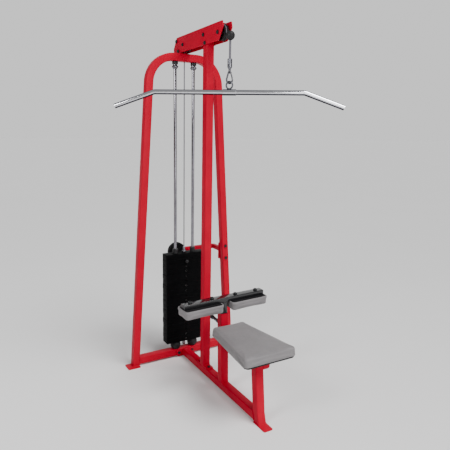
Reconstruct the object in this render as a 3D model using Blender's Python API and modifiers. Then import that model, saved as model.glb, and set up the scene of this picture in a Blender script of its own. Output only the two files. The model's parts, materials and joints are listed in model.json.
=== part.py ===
# Lat pulldown machine: splayed hoop frame, main post, boom with two cable
# pulleys, selectorised weight stack, bent pull bar, thigh pads and a seat.
# Metres, +Z up. The seat end points to -Y, the weight stack stands at +Y.
# The origin is on the floor, at the middle of the machine's outline.
import math

import bmesh
import bpy
from mathutils import Matrix, Vector

for obj in list(bpy.data.objects):
    bpy.data.objects.remove(obj, do_unlink=True)

# ------------------------------------------------------------------ sizes
GAP = 0.0003            # clearance between pieces that touch
TUBE = 0.050            # square frame tube
WALL = 0.003            # its wall
CORNER = 0.005          # its corner radius
PLATE = 0.006           # foot and flange plates

POST_Y = 0.1093         # main post
HOOP_Y = 0.4262         # hoop, guide rods and rear cross beam
THIGH_Y = -0.1217       # thigh pad post
CABLE_Y = -0.1292       # hanging end of the cable, and the pull bar

HOOP_FOOT_X = 0.3732    # leg centre at the floor
HOOP_SPLAY = 0.0656     # leg centre moves in by this per metre of height
HOOP_TOP_Z = 2.0705     # outer top of the hoop
HOOP_BEND = 0.171       # centreline radius of its two bends
HOOP_W = 0.048          # tube width in the hoop's plane
FOOT_Z = 0.0062         # top of the foot plates, plus clearance

BEAM_Z0 = 0.012         # underside of the floor beams
BEAM_Z1 = 0.062         # top of the floor beams
POST_TOP = 2.150

PLATE_PITCH = 0.03568   # one weight plate
PLATES_REST = 16        # plates below the selector pin
STACK_Z0 = 0.118
STACK_W = 0.296
STACK_D = 0.074
ROD_X = 0.066
ROD_R = 0.010
STEM_R = 0.011

CABLE_R = 0.0035
PULLEY_R = 0.0445
PITCH_R = 0.0400        # cable centreline on the pulley
AXLE_Z = 2.1200
FRONT_AXLE_Y = POST_Y - 0.1574
REAR_AXLE_Y = HOOP_Y - PITCH_R
BOOM_IN = 0.0253        # inner face of the boom's cheeks
BOOM_T = 0.006

BAR_Z = 1.7949
BAR_R = 0.0138
BAR_YAW = math.radians(-29.8)   # the pull bar hangs turned by this much
BAR_FLAT = 0.4158
BAR_REACH = 0.6361
BAR_DROP = 0.0783

BALL_Z = 2.092
BALL_R = 0.025

SEAT_TOP = 0.4530
SEAT_REAR = POST_Y - 0.2690
SEAT_FRONT = POST_Y - 0.7145
SEAT_HALF_REAR = 0.1080
SEAT_HALF_FRONT = 0.1655
RAIL_Z0 = 0.3542
RAIL_Z1 = 0.3942

PAD_IN = 0.0285
PAD_OUT = 0.2827
PAD_D = 0.1232
PAD_Z0 = 0.5315
BAR2_Z0 = 0.5832        # underside of the black cross tube
BAR2_Z1 = 0.6123
THIGH_TOP = 0.511

PIN_Z = 0.436           # pull pin on the thigh post

# ------------------------------------------------------------ collections
parts = bpy.data.collections.new("lat_pulldown_machine")
cutters = bpy.data.collections.new("cutters")
bpy.context.scene.collection.children.link(parts)
bpy.context.scene.collection.children.link(cutters)
cutters.hide_render = True


def material(name, color, roughness, metallic=0.0):
    mat = bpy.data.materials.new(name)
    mat.use_nodes = True
    shader = mat.node_tree.nodes["Principled BSDF"]
    shader.inputs["Base Color"].default_value = (*color, 1.0)
    shader.inputs["Roughness"].default_value = roughness
    shader.inputs["Metallic"].default_value = metallic
    return mat


RED = material("red_powder_coat", (0.62, 0.005, 0.018), 0.38)
CHROME = material("chrome", (0.80, 0.81, 0.83), 0.12, 1.0)
STEEL = material("zinc_steel", (0.52, 0.53, 0.55), 0.35, 1.0)
IRON = material("black_iron", (0.022, 0.022, 0.024), 0.5)
BLACK = material("black_gloss_paint", (0.012, 0.012, 0.013), 0.18)
RUBBER = material("black_rubber", (0.02, 0.02, 0.02), 0.7)
NYLON = material("black_nylon", (0.025, 0.025, 0.027), 0.45)
VINYL = material("grey_vinyl", (0.27, 0.26, 0.26), 0.55)
BOARD = material("black_board", (0.015, 0.015, 0.016), 0.6)
COAT = material("grey_cable_coat", (0.20, 0.19, 0.21), 0.4)
BOLT = material("black_oxide", (0.02, 0.025, 0.026), 0.35, 0.6)


# ---------------------------------------------------------------- helpers
def smooth(mesh, angle=32):
    mesh.shade_smooth()
    mesh.set_sharp_from_angle(angle=math.radians(angle))


def add(name, mesh, mat, location=(0, 0, 0), rotation=(0, 0, 0), cutter=False):
    obj = bpy.data.objects.new(name, mesh)
    obj.location = location
    obj.rotation_euler = rotation
    if mat:
        mesh.materials.append(mat)
    if cutter:
        cutters.objects.link(obj)
        obj.hide_render = True
        obj.display_type = "WIRE"
    else:
        parts.objects.link(obj)
    return obj


def mesh_from(bm, name):
    bmesh.ops.recalc_face_normals(bm, faces=bm.faces)
    mesh = bpy.data.meshes.new(name)
    bm.to_mesh(mesh)
    bm.free()
    smooth(mesh)
    return mesh


def box(name, lo, hi, mat, bevel=0.0, edges="all", segments=2, cutter=False, origin=None):
    """A box between two corners; edges may be all, x, y or z (the ones along it)."""
    lo, hi = Vector(lo), Vector(hi)
    middle = (lo + hi) / 2 if origin is None else Vector(origin)
    bm = bmesh.new()
    bmesh.ops.create_cube(bm, size=1.0)
    for vert in bm.verts:
        vert.co = Vector([(lo[i] + hi[i]) / 2 + vert.co[i] * (hi[i] - lo[i]) - middle[i] for i in range(3)])
    if bevel:
        chosen = bm.edges[:]
        if edges != "all":
            axis = "xyz".index(edges)
            chosen = [e for e in bm.edges if abs((e.verts[0].co - e.verts[1].co)[axis]) > 1e-6]
        bmesh.ops.bevel(bm, geom=chosen, offset=bevel, segments=segments, affect="EDGES", profile=0.5)
    return add(name, mesh_from(bm, name), mat, middle, cutter=cutter)


def tube_mesh(name, axis, lo, hi, corner=CORNER):
    """The open skin of a rectangular tube along an axis, with rounded corners."""
    lo, hi = Vector(lo), Vector(hi)
    middle = (lo + hi) / 2
    along = "xyz".index(axis)
    bm = bmesh.new()
    bmesh.ops.create_cube(bm, size=1.0)
    for vert in bm.verts:
        vert.co = Vector([vert.co[i] * (hi[i] - lo[i]) for i in range(3)])
    long_edges = [e for e in bm.edges if abs((e.verts[0].co - e.verts[1].co)[along]) > 1e-6]
    bmesh.ops.bevel(bm, geom=long_edges, offset=corner, segments=2, affect="EDGES", profile=0.5)
    bm.normal_update()
    ends = [f for f in bm.faces if abs(f.normal[along]) > 0.9]
    bmesh.ops.delete(bm, geom=ends, context="FACES_ONLY")
    mesh = bpy.data.meshes.new(name)
    bm.to_mesh(mesh)
    bm.free()
    smooth(mesh)
    return mesh, middle


def solidify(obj, wall):
    mod = obj.modifiers.new("wall", "SOLIDIFY")
    mod.thickness = wall
    mod.offset = -1.0
    mod.use_even_offset = True


def tube(name, axis, lo, hi, mat, wall=WALL, corner=CORNER):
    mesh, middle = tube_mesh(name, axis, lo, hi, corner)
    obj = add(name, mesh, mat, middle)
    solidify(obj, wall)
    return obj


def cylinder(name, axis, centre, radius, length, mat=None, segments=16, cutter=False, radius2=None):
    bm = bmesh.new()
    bmesh.ops.create_cone(
        bm, cap_ends=True, segments=segments, radius1=radius,
        radius2=radius if radius2 is None else radius2, depth=length,
    )
    turn = {"x": Matrix.Rotation(math.pi / 2, 4, "Y"), "y": Matrix.Rotation(-math.pi / 2, 4, "X"), "z": Matrix.Identity(4)}
    bmesh.ops.transform(bm, matrix=turn[axis], verts=bm.verts)
    return add(name, mesh_from(bm, name), mat, centre, cutter=cutter)


def lathe(name, profile, mat, location, axis="z", steps=24, flip=False):
    """Turns a closed outline of (radius, height) points about an axis."""
    area = sum(a[0] * b[1] - b[0] * a[1] for a, b in zip(profile, profile[1:] + profile[:1]))
    if area > 0:
        profile = list(reversed(profile))
    bm = bmesh.new()
    verts = [bm.verts.new((r, 0.0, h)) for r, h in profile]
    for a, b in zip(verts, verts[1:] + verts[:1]):
        if profile[verts.index(a)][0] > 1e-9 or profile[verts.index(b)][0] > 1e-9:
            bm.edges.new((a, b))
    mesh = bpy.data.meshes.new(name)
    bm.to_mesh(mesh)
    bm.free()
    rotation = {"z": (0, 0, 0), "x": (0, math.pi / 2, 0), "y": (-math.pi / 2, 0, 0)}[axis]
    obj = add(name, mesh, mat, location, rotation)
    mod = obj.modifiers.new("turn", "SCREW")
    mod.steps = steps
    mod.render_steps = steps
    mod.use_merge_vertices = True
    mod.merge_threshold = 0.00005
    mod.use_smooth_shade = True
    mod.use_normal_flip = flip
    return obj


def boolean(obj, other, operation="DIFFERENCE"):
    mod = obj.modifiers.new(other.name, "BOOLEAN")
    mod.operation = operation
    mod.object = other
    mod.solver = "EXACT"
    return mod


def applied(obj):
    """Replaces an object's mesh by its evaluated one, in place."""
    graph = bpy.context.evaluated_depsgraph_get()
    graph.update()
    mesh = bpy.data.meshes.new_from_object(obj.evaluated_get(graph))
    mesh.name = obj.name
    obj.modifiers.clear()
    obj.data = mesh
    return obj


def curve_path(name, points, cyclic=False):
    curve = bpy.data.curves.new(name, "CURVE")
    curve.dimensions = "3D"
    spline = curve.splines.new("POLY")
    spline.points.add(len(points) - 1)
    for point, co in zip(spline.points, points):
        point.co = (*co, 1.0)
    spline.use_cyclic_u = cyclic
    return curve


def wire(name, points, radius, mat, resolution=2, cyclic=False, location=(0, 0, 0), twist="MINIMUM"):
    """A round wire along points, made a welded mesh."""
    curve = curve_path(name + "_path", points, cyclic)
    curve.twist_mode = twist
    curve.bevel_depth = radius
    curve.bevel_resolution = resolution
    curve.use_fill_caps = True
    guide = bpy.data.objects.new(name + "_path", curve)
    parts.objects.link(guide)
    guide.location = location
    graph = bpy.context.evaluated_depsgraph_get()
    mesh = bpy.data.meshes.new_from_object(guide.evaluated_get(graph))
    mesh.name = name
    bm = bmesh.new()
    bm.from_mesh(mesh)
    bmesh.ops.remove_doubles(bm, verts=bm.verts, dist=1e-6)
    bmesh.ops.recalc_face_normals(bm, faces=bm.faces)
    bm.to_mesh(mesh)
    bm.free()
    smooth(mesh, 40)
    bpy.data.objects.remove(guide, do_unlink=True)
    mesh.materials.clear()
    return add(name, mesh, mat, location)


def outline_plate(name, points, thickness, mat, location=(0, 0, 0), rotation=(0, 0, 0), cutter=False):
    """A flat plate from a 2D outline, as a filled and extruded curve made a mesh."""
    curve = bpy.data.curves.new(name + "_outline", "CURVE")
    curve.dimensions = "2D"
    curve.fill_mode = "BOTH"
    curve.extrude = thickness / 2
    spline = curve.splines.new("POLY")
    spline.points.add(len(points) - 1)
    for point, co in zip(spline.points, points):
        point.co = (co[0], co[1], 0.0, 1.0)
    spline.use_cyclic_u = True
    guide = bpy.data.objects.new(name + "_outline", curve)
    parts.objects.link(guide)
    graph = bpy.context.evaluated_depsgraph_get()
    mesh = bpy.data.meshes.new_from_object(guide.evaluated_get(graph))
    mesh.name = name
    bm = bmesh.new()
    bm.from_mesh(mesh)
    bmesh.ops.remove_doubles(bm, verts=bm.verts, dist=1e-6)
    bmesh.ops.recalc_face_normals(bm, faces=bm.faces)
    bm.to_mesh(mesh)
    bm.free()
    smooth(mesh)
    bpy.data.objects.remove(guide, do_unlink=True)
    mesh.materials.clear()
    return add(name, mesh, mat, location, rotation, cutter=cutter)


def rounded(points, radii, steps=3):
    """Rounds the corners of a closed 2D outline by the radii given."""
    out = []
    count = len(points)
    for i, (point, radius) in enumerate(zip(points, radii)):
        here = Vector(point)
        if radius <= 0:
            out.append(tuple(here))
            continue
        back = (Vector(points[i - 1]) - here).normalized()
        ahead = (Vector(points[(i + 1) % count]) - here).normalized()
        half = back.angle(ahead) / 2
        reach = radius / math.tan(half)
        centre = here + (back + ahead).normalized() * radius / math.sin(half)
        a, b = here + back * reach - centre, here + ahead * reach - centre
        turn = a.angle_signed(b)
        for k in range(steps + 1):
            out.append(tuple(centre + Matrix.Rotation(-turn * k / steps, 2) @ a))
    return out


def bolt(name, axis, head_at, length, radius=0.005, head=0.010, head_t=0.007, nut=0.009, nut_t=0.007, sign=1, steps=8):
    """A bolt along an axis. head_at is the point under its head, and the shank runs
    from there along the axis (sign +1 or -1) to a nut whose near face is length away."""
    profile = [(0, -head_t), (head * 0.82, -head_t), (head, -head_t * 0.72), (head, 0), (radius, 0)]
    if nut:
        profile += [(radius, length), (nut, length), (nut, length + nut_t), (0, length + nut_t)]
    else:
        profile += [(radius, length), (0, length)]
    if sign < 0:
        profile = [(r, -h) for r, h in reversed(profile)]
    obj = lathe(name, list(reversed(profile)), BOLT, head_at, axis, steps)
    return obj


def hole(obj, axis, centre, radius, length, segments=12):
    cut = cylinder("cut_" + obj.name, axis, centre, radius, length, segments=segments, cutter=True)
    boolean(obj, cut)
    return cut


# ------------------------------------------------------------- hoop frame
# Centreline: up the left leg, over two bends, down the right leg.
splay = math.atan(HOOP_SPLAY)
top_mid = HOOP_TOP_Z - HOOP_W / 2
bend_z = top_mid - HOOP_BEND
bend_x = HOOP_FOOT_X - HOOP_SPLAY * (bend_z + HOOP_BEND * math.sin(splay)) - HOOP_BEND * math.cos(splay)


def leg_x(z):
    return HOOP_FOOT_X - HOOP_SPLAY * z


hoop_path = []
for k in range(9):
    angle = splay + (math.pi / 2 - splay) * k / 8
    hoop_path.append((bend_x + HOOP_BEND * math.cos(angle), bend_z + HOOP_BEND * math.sin(angle)))
hoop_path = [(leg_x(FOOT_Z - 0.003), FOOT_Z - 0.003)] + hoop_path
hoop_path = hoop_path + [(-x, z) for x, z in reversed(hoop_path)]

half_w, half_d, c = HOOP_W / 2, TUBE / 2, CORNER
ring = rounded([(-half_w, -half_d), (half_w, -half_d), (half_w, half_d), (-half_w, half_d)], [c] * 4, 2)
section = curve_path("hoop_section", [(x, y, 0) for x, y in ring], True)
section.dimensions = "2D"
section_obj = bpy.data.objects.new("hoop_section", section)
cutters.objects.link(section_obj)
section_obj.hide_render = True
path = curve_path("hoop_path", [(x, z, 0) for x, z in hoop_path])
path.dimensions = "2D"
path.bevel_mode = "OBJECT"
path.bevel_object = section_obj
path.use_fill_caps = False
guide = bpy.data.objects.new("hoop_path", path)
parts.objects.link(guide)
graph = bpy.context.evaluated_depsgraph_get()
skin = bpy.data.meshes.new_from_object(guide.evaluated_get(graph))
bpy.data.objects.remove(guide, do_unlink=True)
bm = bmesh.new()
bm.from_mesh(skin)
bmesh.ops.remove_doubles(bm, verts=bm.verts, dist=1e-6)
bmesh.ops.recalc_face_normals(bm, faces=bm.faces)
# The 2D path lies in X and Y: stand it up, so that Y becomes Z.
bmesh.ops.transform(bm, matrix=Matrix.Rotation(math.pi / 2, 4, "X"), verts=bm.verts)
for vert in bm.verts:
    if vert.co.z < 0.02:
        side = 1 if vert.co.x > 0 else -1
        drop = vert.co.z - (FOOT_Z - 0.003)
        vert.co.x += side * HOOP_SPLAY * drop
        vert.co.z -= drop
# An open skin has no inside, so the way its faces point is set by one of them.
bm.faces.ensure_lookup_table()
probe = max(bm.faces, key=lambda f: f.calc_center_median().z)
if probe.normal.z < 0:
    bmesh.ops.reverse_faces(bm, faces=bm.faces)
skin.clear_geometry()
bm.to_mesh(skin)
bm.free()
smooth(skin, 40)
skin.materials.clear()
hoop = add("hoop_frame", skin, RED, (0, HOOP_Y, 0))
solidify(hoop, WALL)

for side in (-1, 1):
    inner, outer = sorted((side * 0.350, side * 0.437))
    foot = box(
        "hoop_foot_%s" % ("left" if side < 0 else "right"),
        (inner, HOOP_Y - 0.050, 0), (outer, HOOP_Y + 0.028, PLATE), None, 0.006, "z", 2, cutter=True,
    )
    boolean(hoop, foot, "UNION")
stub_mesh, stub_mid = tube_mesh("hoop_stub", "z", (-0.025, HOOP_Y + 0.006, HOOP_TOP_Z - 0.0022), (0.025, HOOP_Y + 0.064, 2.160))
stub = add("hoop_stub", stub_mesh, None, stub_mid, cutter=True)
solidify(stub, 0.004)
boolean(hoop, stub, "UNION")
hole(hoop, "z", (0, HOOP_Y, top_mid), 0.0085, 0.08, 12)
BOOM_BOLTS = {
    "rear_upper": (POST_Y + 0.3655, 2.1510),
    "rear_lower": (POST_Y + 0.3420, 2.0880),
    "post_upper": (POST_Y + 0.0074, 2.1336),
    "post_lower": (POST_Y - 0.0117, 2.0860),
}
for key in ("rear_upper", "rear_lower"):
    y, z = BOOM_BOLTS[key]
    hole(hoop, "x", (0, y, z), 0.0053, 0.09, 10)
ARM_Z = (0.7756, 0.6873)
for z in ARM_Z:
    hole(hoop, "y", (leg_x(z), HOOP_Y, z), 0.0053, 0.09, 10)

# --------------------------------------------------------- floor members
beam_x = leg_x(BEAM_Z1) - HOOP_W / 2 / math.cos(splay) - GAP
mesh, mid = tube_mesh("rear_cross_beam", "x", (-beam_x, HOOP_Y - 0.025, BEAM_Z0), (beam_x, HOOP_Y + 0.025, BEAM_Z1))
for vert in mesh.vertices:
    vert.co.x += math.copysign(HOOP_SPLAY * (0.025 - vert.co.z), vert.co.x)
cross_beam = add("rear_cross_beam", mesh, RED, mid)
solidify(cross_beam, WALL)
FLANGE_X = 0.0515
for side in (-1, 1):
    hole(cross_beam, "y", (side * FLANGE_X, HOOP_Y, 0.034), 0.0053, 0.09, 10)

# Front leg: leans forward, and kicks forward below the floor beam.
LEG_TOP = (POST_Y - 0.5820, RAIL_Z0 - PLATE + 0.002)
LEG_KNEE = (POST_Y - 0.6130, 0.068)
LEG_FOOT = (POST_Y - 0.6300, 0.003)


def leg_y(z):
    """Centre of the front leg at a height."""
    a, b = (LEG_TOP, LEG_KNEE) if z >= LEG_KNEE[1] else (LEG_KNEE, LEG_FOOT)
    t = (z - b[1]) / (a[1] - b[1])
    return b[0] + (a[0] - b[0]) * t


bm = bmesh.new()
bmesh.ops.create_cube(bm, size=1.0)
for vert in bm.verts:
    vert.co = Vector((vert.co.x * TUBE, vert.co.y * TUBE, 1.0 if vert.co.z > 0 else 0.0))
upright = [e for e in bm.edges if abs(e.verts[0].co.z - e.verts[1].co.z) > 0.5]
bmesh.ops.bevel(bm, geom=upright, offset=CORNER, segments=2, affect="EDGES", profile=0.5)
bm.normal_update()
bmesh.ops.delete(bm, geom=[f for f in bm.faces if abs(f.normal.z) > 0.9], context="FACES_ONLY")
bmesh.ops.bisect_plane(bm, geom=bm.verts[:] + bm.edges[:] + bm.faces[:], plane_co=(0, 0, 0.5), plane_no=(0, 0, 1))
for vert in bm.verts:
    z = LEG_FOOT[1] if vert.co.z < 0.1 else (LEG_KNEE[1] if vert.co.z < 0.6 else LEG_TOP[1])
    vert.co = Vector((vert.co.x, vert.co.y + leg_y(z), z))
mesh = bpy.data.meshes.new("front_leg")
bm.to_mesh(mesh)
bm.free()
smooth(mesh)
front_leg = add("front_leg", mesh, RED)
solidify(front_leg, WALL)
front_plate = box(
    "front_foot", (-0.029, POST_Y - 0.7103, 0), (0.029, POST_Y - 0.600, PLATE), None, 0.007, "z", 2, cutter=True
)
boolean(front_leg, front_plate, "UNION")
cap_plate = box(
    "front_cap", (-0.046, POST_Y - 0.640, RAIL_Z0 - PLATE), (0.0655, POST_Y - 0.548, RAIL_Z0), None, 0.006, "z", 2, cutter=True
)
boolean(front_leg, cap_plate, "UNION")
lug = outline_plate(
    "front_lug", rounded([(0.021, 0.3080), (0.0655, 0.3080), (0.0655, RAIL_Z0 - 0.002), (0.021, RAIL_Z0 - 0.002)], [0, 0.014, 0, 0], 3),
    PLATE, None, (0, POST_Y - 0.6090, 0), (math.pi / 2, 0, 0), cutter=True,
)
boolean(front_leg, lug, "UNION")
hole(front_leg, "z", (0, leg_y(0.003), 0), 0.009, 0.03, 12)

# Floor beam: from the rear cross beam to the front leg, with a rounded flange.
beam_rear = HOOP_Y - 0.025 - GAP - PLATE
mesh, mid = tube_mesh("floor_beam", "y", (-0.025, leg_y(0.05) + 0.03, BEAM_Z0), (0.025, beam_rear + 0.002, BEAM_Z1))
for vert in mesh.vertices:
    if vert.co.y < 0:
        z = vert.co.z + mid.z
        vert.co.y = leg_y(z) + TUBE / 2 + 0.0016 - mid.y
floor_beam = add("floor_beam", mesh, RED, mid)
solidify(floor_beam, WALL)
flange_outline = rounded(
    [(-0.072, -0.029), (0.072, -0.029), (0.072, 0.024), (-0.072, 0.024)], [0.020, 0.020, 0.014, 0.014], 4
)
flange = outline_plate(
    "beam_flange", flange_outline, PLATE, None, (0, beam_rear + PLATE / 2, 0.037), (math.pi / 2, 0, 0), cutter=True
)
boolean(floor_beam, flange, "UNION")
for side in (-1, 1):
    hole(floor_beam, "y", (side * FLANGE_X, beam_rear, 0.034), 0.0053, 0.03, 10)
for side in (-1, 1):
    hole(floor_beam, "z", (0, POST_Y + side * 0.0535, BEAM_Z1), 0.0053, 0.012, 10)

# ------------------------------------------------------------- main post
post = tube("main_post", "z", (-0.025, POST_Y - 0.025, BEAM_Z1 + GAP + PLATE - 0.003), (0.025, POST_Y + 0.025, POST_TOP), RED)
base = box(
    "post_base", (-0.0245, POST_Y - 0.074, BEAM_Z1 + GAP), (0.0245, POST_Y + 0.074, BEAM_Z1 + GAP + PLATE), None,
    0.008, "z", 2, cutter=True,
)
boolean(post, base, "UNION")
for key in ("post_upper", "post_lower"):
    y, z = BOOM_BOLTS[key]
    hole(post, "x", (0, y, z), 0.0053, 0.09, 10)
for side in (-1, 1):
    hole(post, "z", (0, POST_Y + side * 0.0535, BEAM_Z1), 0.0053, 0.03, 10)

# ----------------------------------------------------------- thigh post
thigh_post = tube("thigh_post", "z", (-0.025, THIGH_Y - 0.025, BEAM_Z1 + GAP), (0.025, THIGH_Y + 0.025, THIGH_TOP), RED)
hole(thigh_post, "y", (0, THIGH_Y + 0.025, PIN_Z), 0.0063, 0.02, 12)

# Seat rail under the board, from the thigh post to over the front leg.
seat_rail = tube(
    "seat_rail", "y", (-0.025, POST_Y - 0.6400, RAIL_Z0 + GAP), (0.025, THIGH_Y - 0.025 - GAP, RAIL_Z1), RED, corner=0.004
)

# ------------------------------------------------------------------ boom
cheek = rounded(
    [
        (POST_Y - 0.2030, 2.1740), (POST_Y - 0.2110, 2.1420), (POST_Y - 0.1630, 2.0760),
        (POST_Y + 0.4060, 2.0760), (POST_Y + 0.4110, 2.1100), (POST_Y + 0.3660, 2.1740),
    ],
    [0.006, 0.006, 0.006, 0.010, 0.008, 0.010], 2,
)
boom = outline_plate("boom_channel", cheek, BOOM_T, RED, (-BOOM_IN - BOOM_T / 2, 0, 0), (math.pi / 2, 0, math.pi / 2))
other = outline_plate("boom_far_cheek", cheek, BOOM_T, None, (BOOM_IN + BOOM_T / 2, 0, 0), (math.pi / 2, 0, math.pi / 2), cutter=True)
web = box(
    "boom_web", (-BOOM_IN - 0.003, POST_Y - 0.150, 2.1705), (BOOM_IN + 0.003, POST_Y + 0.346, 2.1737), None, cutter=True
)
boolean(boom, web, "UNION")
boolean(boom, other, "UNION")
for y, z in list(BOOM_BOLTS.values()) + [(FRONT_AXLE_Y, AXLE_Z), (REAR_AXLE_Y, AXLE_Z)]:
    hole(boom, "x", (0, y, z), 0.0053, 0.09, 10)

# --------------------------------------------------------------- pulleys
def pulley(name, location, axis, radius, pitch, half, bore):
    groove = CABLE_R + 0.0004
    base_r = pitch - groove
    profile = [
        (bore, half), (0.013, half), (0.013, 0.005), (base_r - 0.006, 0.004), (base_r - 0.005, half - 0.001),
        (radius - 0.001, half - 0.001), (radius, half - 0.002), (pitch - 0.003, 0.0040), (pitch - 0.0046, 0.0020),
        (pitch - 0.0046, -0.0020), (pitch - 0.003, -0.0040), (radius, -half + 0.002), (radius - 0.001, -half + 0.001),
        (base_r - 0.005, -half + 0.001),
        (base_r - 0.006, -0.004), (0.013, -0.005), (0.013, -half), (bore, -half),
    ]
    return lathe(name, profile, NYLON, location, axis, 20)


pulley("front_pulley", (0, FRONT_AXLE_Y, AXLE_Z), "x", PULLEY_R, PITCH_R, 0.0125, 0.0054)
pulley("rear_pulley", (0, REAR_AXLE_Y, AXLE_Z), "x", PULLEY_R, PITCH_R, 0.0125, 0.0054)
span = 2 * (BOOM_IN + BOOM_T + GAP)
for name, y, z in (
    ("front_pulley_axle", FRONT_AXLE_Y, AXLE_Z), ("rear_pulley_axle", REAR_AXLE_Y, AXLE_Z),
    ("boom_bolt_post_upper", *BOOM_BOLTS["post_upper"]), ("boom_bolt_post_lower", *BOOM_BOLTS["post_lower"]),
    ("boom_bolt_rear_upper", *BOOM_BOLTS["rear_upper"]), ("boom_bolt_rear_lower", *BOOM_BOLTS["rear_lower"]),
):
    bolt(name, "x", (-span / 2, y, z), span, head=0.0105)

# ------------------------------------------------ idler arm behind the stack
ARM_X = 0.321
ARM_T = 0.030
ARM_Z0 = 0.7255
ARM_BACK = POST_Y + 0.4845
leg_back = HOOP_Y + 0.025 + GAP
arm_mesh, arm_mid = tube_mesh(
    "idler_arm", "x", (-0.024, ARM_BACK - ARM_T, ARM_Z0), (ARM_X + ARM_T / 2, ARM_BACK, ARM_Z0 + ARM_T), 0.003
)
arm = add("idler_arm", arm_mesh, RED, arm_mid)
solidify(arm, 0.0025)
return_mesh, return_mid = tube_mesh(
    "arm_return", "y", (ARM_X - ARM_T / 2, leg_back + 0.003, ARM_Z0 + 0.0002),
    (ARM_X + ARM_T / 2 - 0.0004, ARM_BACK - 0.012, ARM_Z0 + ARM_T - 0.0002), 0.003,
)
arm_return = add("arm_return", return_mesh, None, return_mid, cutter=True)
solidify(arm_return, 0.0025)
boolean(arm, arm_return, "UNION")
arm_flange = box(
    "arm_flange", (ARM_X - 0.027, leg_back, 0.672), (ARM_X + 0.027, leg_back + PLATE, 0.792), None, 0.006, "y", 2, cutter=True
)
boolean(arm, arm_flange, "UNION")
for z in ARM_Z:
    hole(arm, "y", (leg_x(z), leg_back, z), 0.0053, 0.03, 10)
hole(arm, "y", (ARM_X, leg_back, ARM_Z0 + ARM_T / 2), 0.009, 0.03, 12)
IDLER_Y = ARM_BACK - ARM_T - 0.0175
hole(arm, "y", (0, ARM_BACK - ARM_T / 2, ARM_Z0 + ARM_T / 2), 0.0053, 0.06, 10)
for index, z in enumerate(ARM_Z):
    bolt("arm_bolt_%s" % ("upper", "lower")[index], "y", (leg_x(z), HOOP_Y - 0.025 - GAP, z), 0.0566 + GAP, nut=0.009)
idler_z = ARM_Z0 + ARM_T / 2
lathe(
    "idler_pulley",
    [
        (0.0054, 0.014), (0.016, 0.014), (0.017, 0.011), (0.052, 0.011), (0.054, 0.013), (0.064, 0.013), (0.066, 0.011),
        (0.060, 0.003), (0.060, -0.003), (0.066, -0.011), (0.064, -0.013), (0.054, -0.013), (0.052, -0.011),
        (0.017, -0.011), (0.016, -0.014), (0.0054, -0.014),
    ],
    NYLON, (0, IDLER_Y, idler_z), "y", 24,
)
bolt("idler_axle", "y", (0, IDLER_Y - 0.0145, idler_z), ARM_BACK - IDLER_Y + 0.0145 + GAP)

# ------------------------------------------------------------ guide rods
for side, label in ((-1, "left"), (1, "right")):
    x = side * ROD_X
    cylinder("guide_rod_" + label, "z", (x, HOOP_Y, (BEAM_Z1 + 2.0222) / 2), ROD_R, 2.0222 - BEAM_Z1 - 2 * GAP, CHROME, 16)
    lathe(
        "rod_cap_" + label,
        [
            (ROD_R + GAP, 2.0212), (0.0165, 2.0212), (0.0165, 2.0010), (0.0195, 1.9990), (0.0185, 1.9930),
            (0.0135, 1.9850), (0.0125, 1.9790), (ROD_R + GAP, 1.9790),
        ],
        NYLON, (x, HOOP_Y, 0), "z", 20,
    )
    lathe(
        "bumper_" + label,
        [
            (ROD_R + GAP, 0.1174), (0.024, 0.1174), (0.033, 0.110), (0.0365, 0.098), (0.0365, 0.082), (0.033, 0.070),
            (0.024, 0.0625), (ROD_R + GAP, 0.0625),
        ],
        RUBBER, (x, HOOP_Y, 0), "z", 20,
    )

# ---------------------------------------------------------- weight stack
top_rest = STACK_Z0 + PLATES_REST * PLATE_PITCH
plate1_top = top_rest + PLATE_PITCH
head_top = plate1_top + PLATE_PITCH


def stack_mesh(name, z0, count, pitch):
    """A column of plates with chamfered edges, built ring by ring."""
    inset, rise = 0.0022, 0.0022
    rings = []
    for k in range(count):
        base_z = z0 + k * pitch
        rings += [(base_z, inset), (base_z + rise, 0), (base_z + pitch - rise, 0)]
    rings.append((z0 + count * pitch, inset))
    bm = bmesh.new()
    loops = []
    for z, shrink in rings:
        w, d = STACK_W / 2 - shrink, STACK_D / 2 - shrink
        loops.append([bm.verts.new(co) for co in ((-w, -d, z), (w, -d, z), (w, d, z), (-w, d, z))])
    for low, high in zip(loops, loops[1:]):
        for i in range(4):
            j = (i + 1) % 4
            bm.faces.new((low[i], low[j], high[j], high[i]))
    bm.faces.new(list(reversed(loops[0])))
    bm.faces.new(loops[-1])
    return mesh_from(bm, name)


def stack_part(name, z0, count):
    obj = add(name, stack_mesh(name, z0, count, PLATE_PITCH), IRON, (0, HOOP_Y, 0))
    top = z0 + count * PLATE_PITCH
    for x, r in ((-ROD_X, ROD_R + 0.0015), (ROD_X, ROD_R + 0.0015), (0, STEM_R + 0.0015)):
        hole(obj, "z", (x, HOOP_Y, (z0 + top) / 2), r, top - z0 + 0.02, 14)
    return obj


lower = stack_part("weight_plates", STACK_Z0, PLATES_REST)
plate1 = stack_part("weight_plate_01", top_rest + GAP, 1)
head = stack_part("head_plate", plate1_top + 2 * GAP, 1)
for k in range(PLATES_REST):
    hole(lower, "y", (0, HOOP_Y - STACK_D / 2, STACK_Z0 + (k + 0.5) * PLATE_PITCH), 0.0052, 0.060, 8)
pin_z = top_rest + GAP + PLATE_PITCH / 2
hole(plate1, "y", (0, HOOP_Y - STACK_D / 2, pin_z), 0.0054, 0.060, 10)

for side, label in ((-1, "left"), (1, "right")):
    z = head_top + 3 * GAP
    lathe(
        "stack_bush_" + label,
        [(ROD_R + 0.0004, z + 0.032), (0.0165, z + 0.032), (0.0180, z + 0.029), (0.0180, z), (ROD_R + 0.0004, z)],
        NYLON, (side * ROD_X, HOOP_Y, 0), "z", 20,
    )

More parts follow.
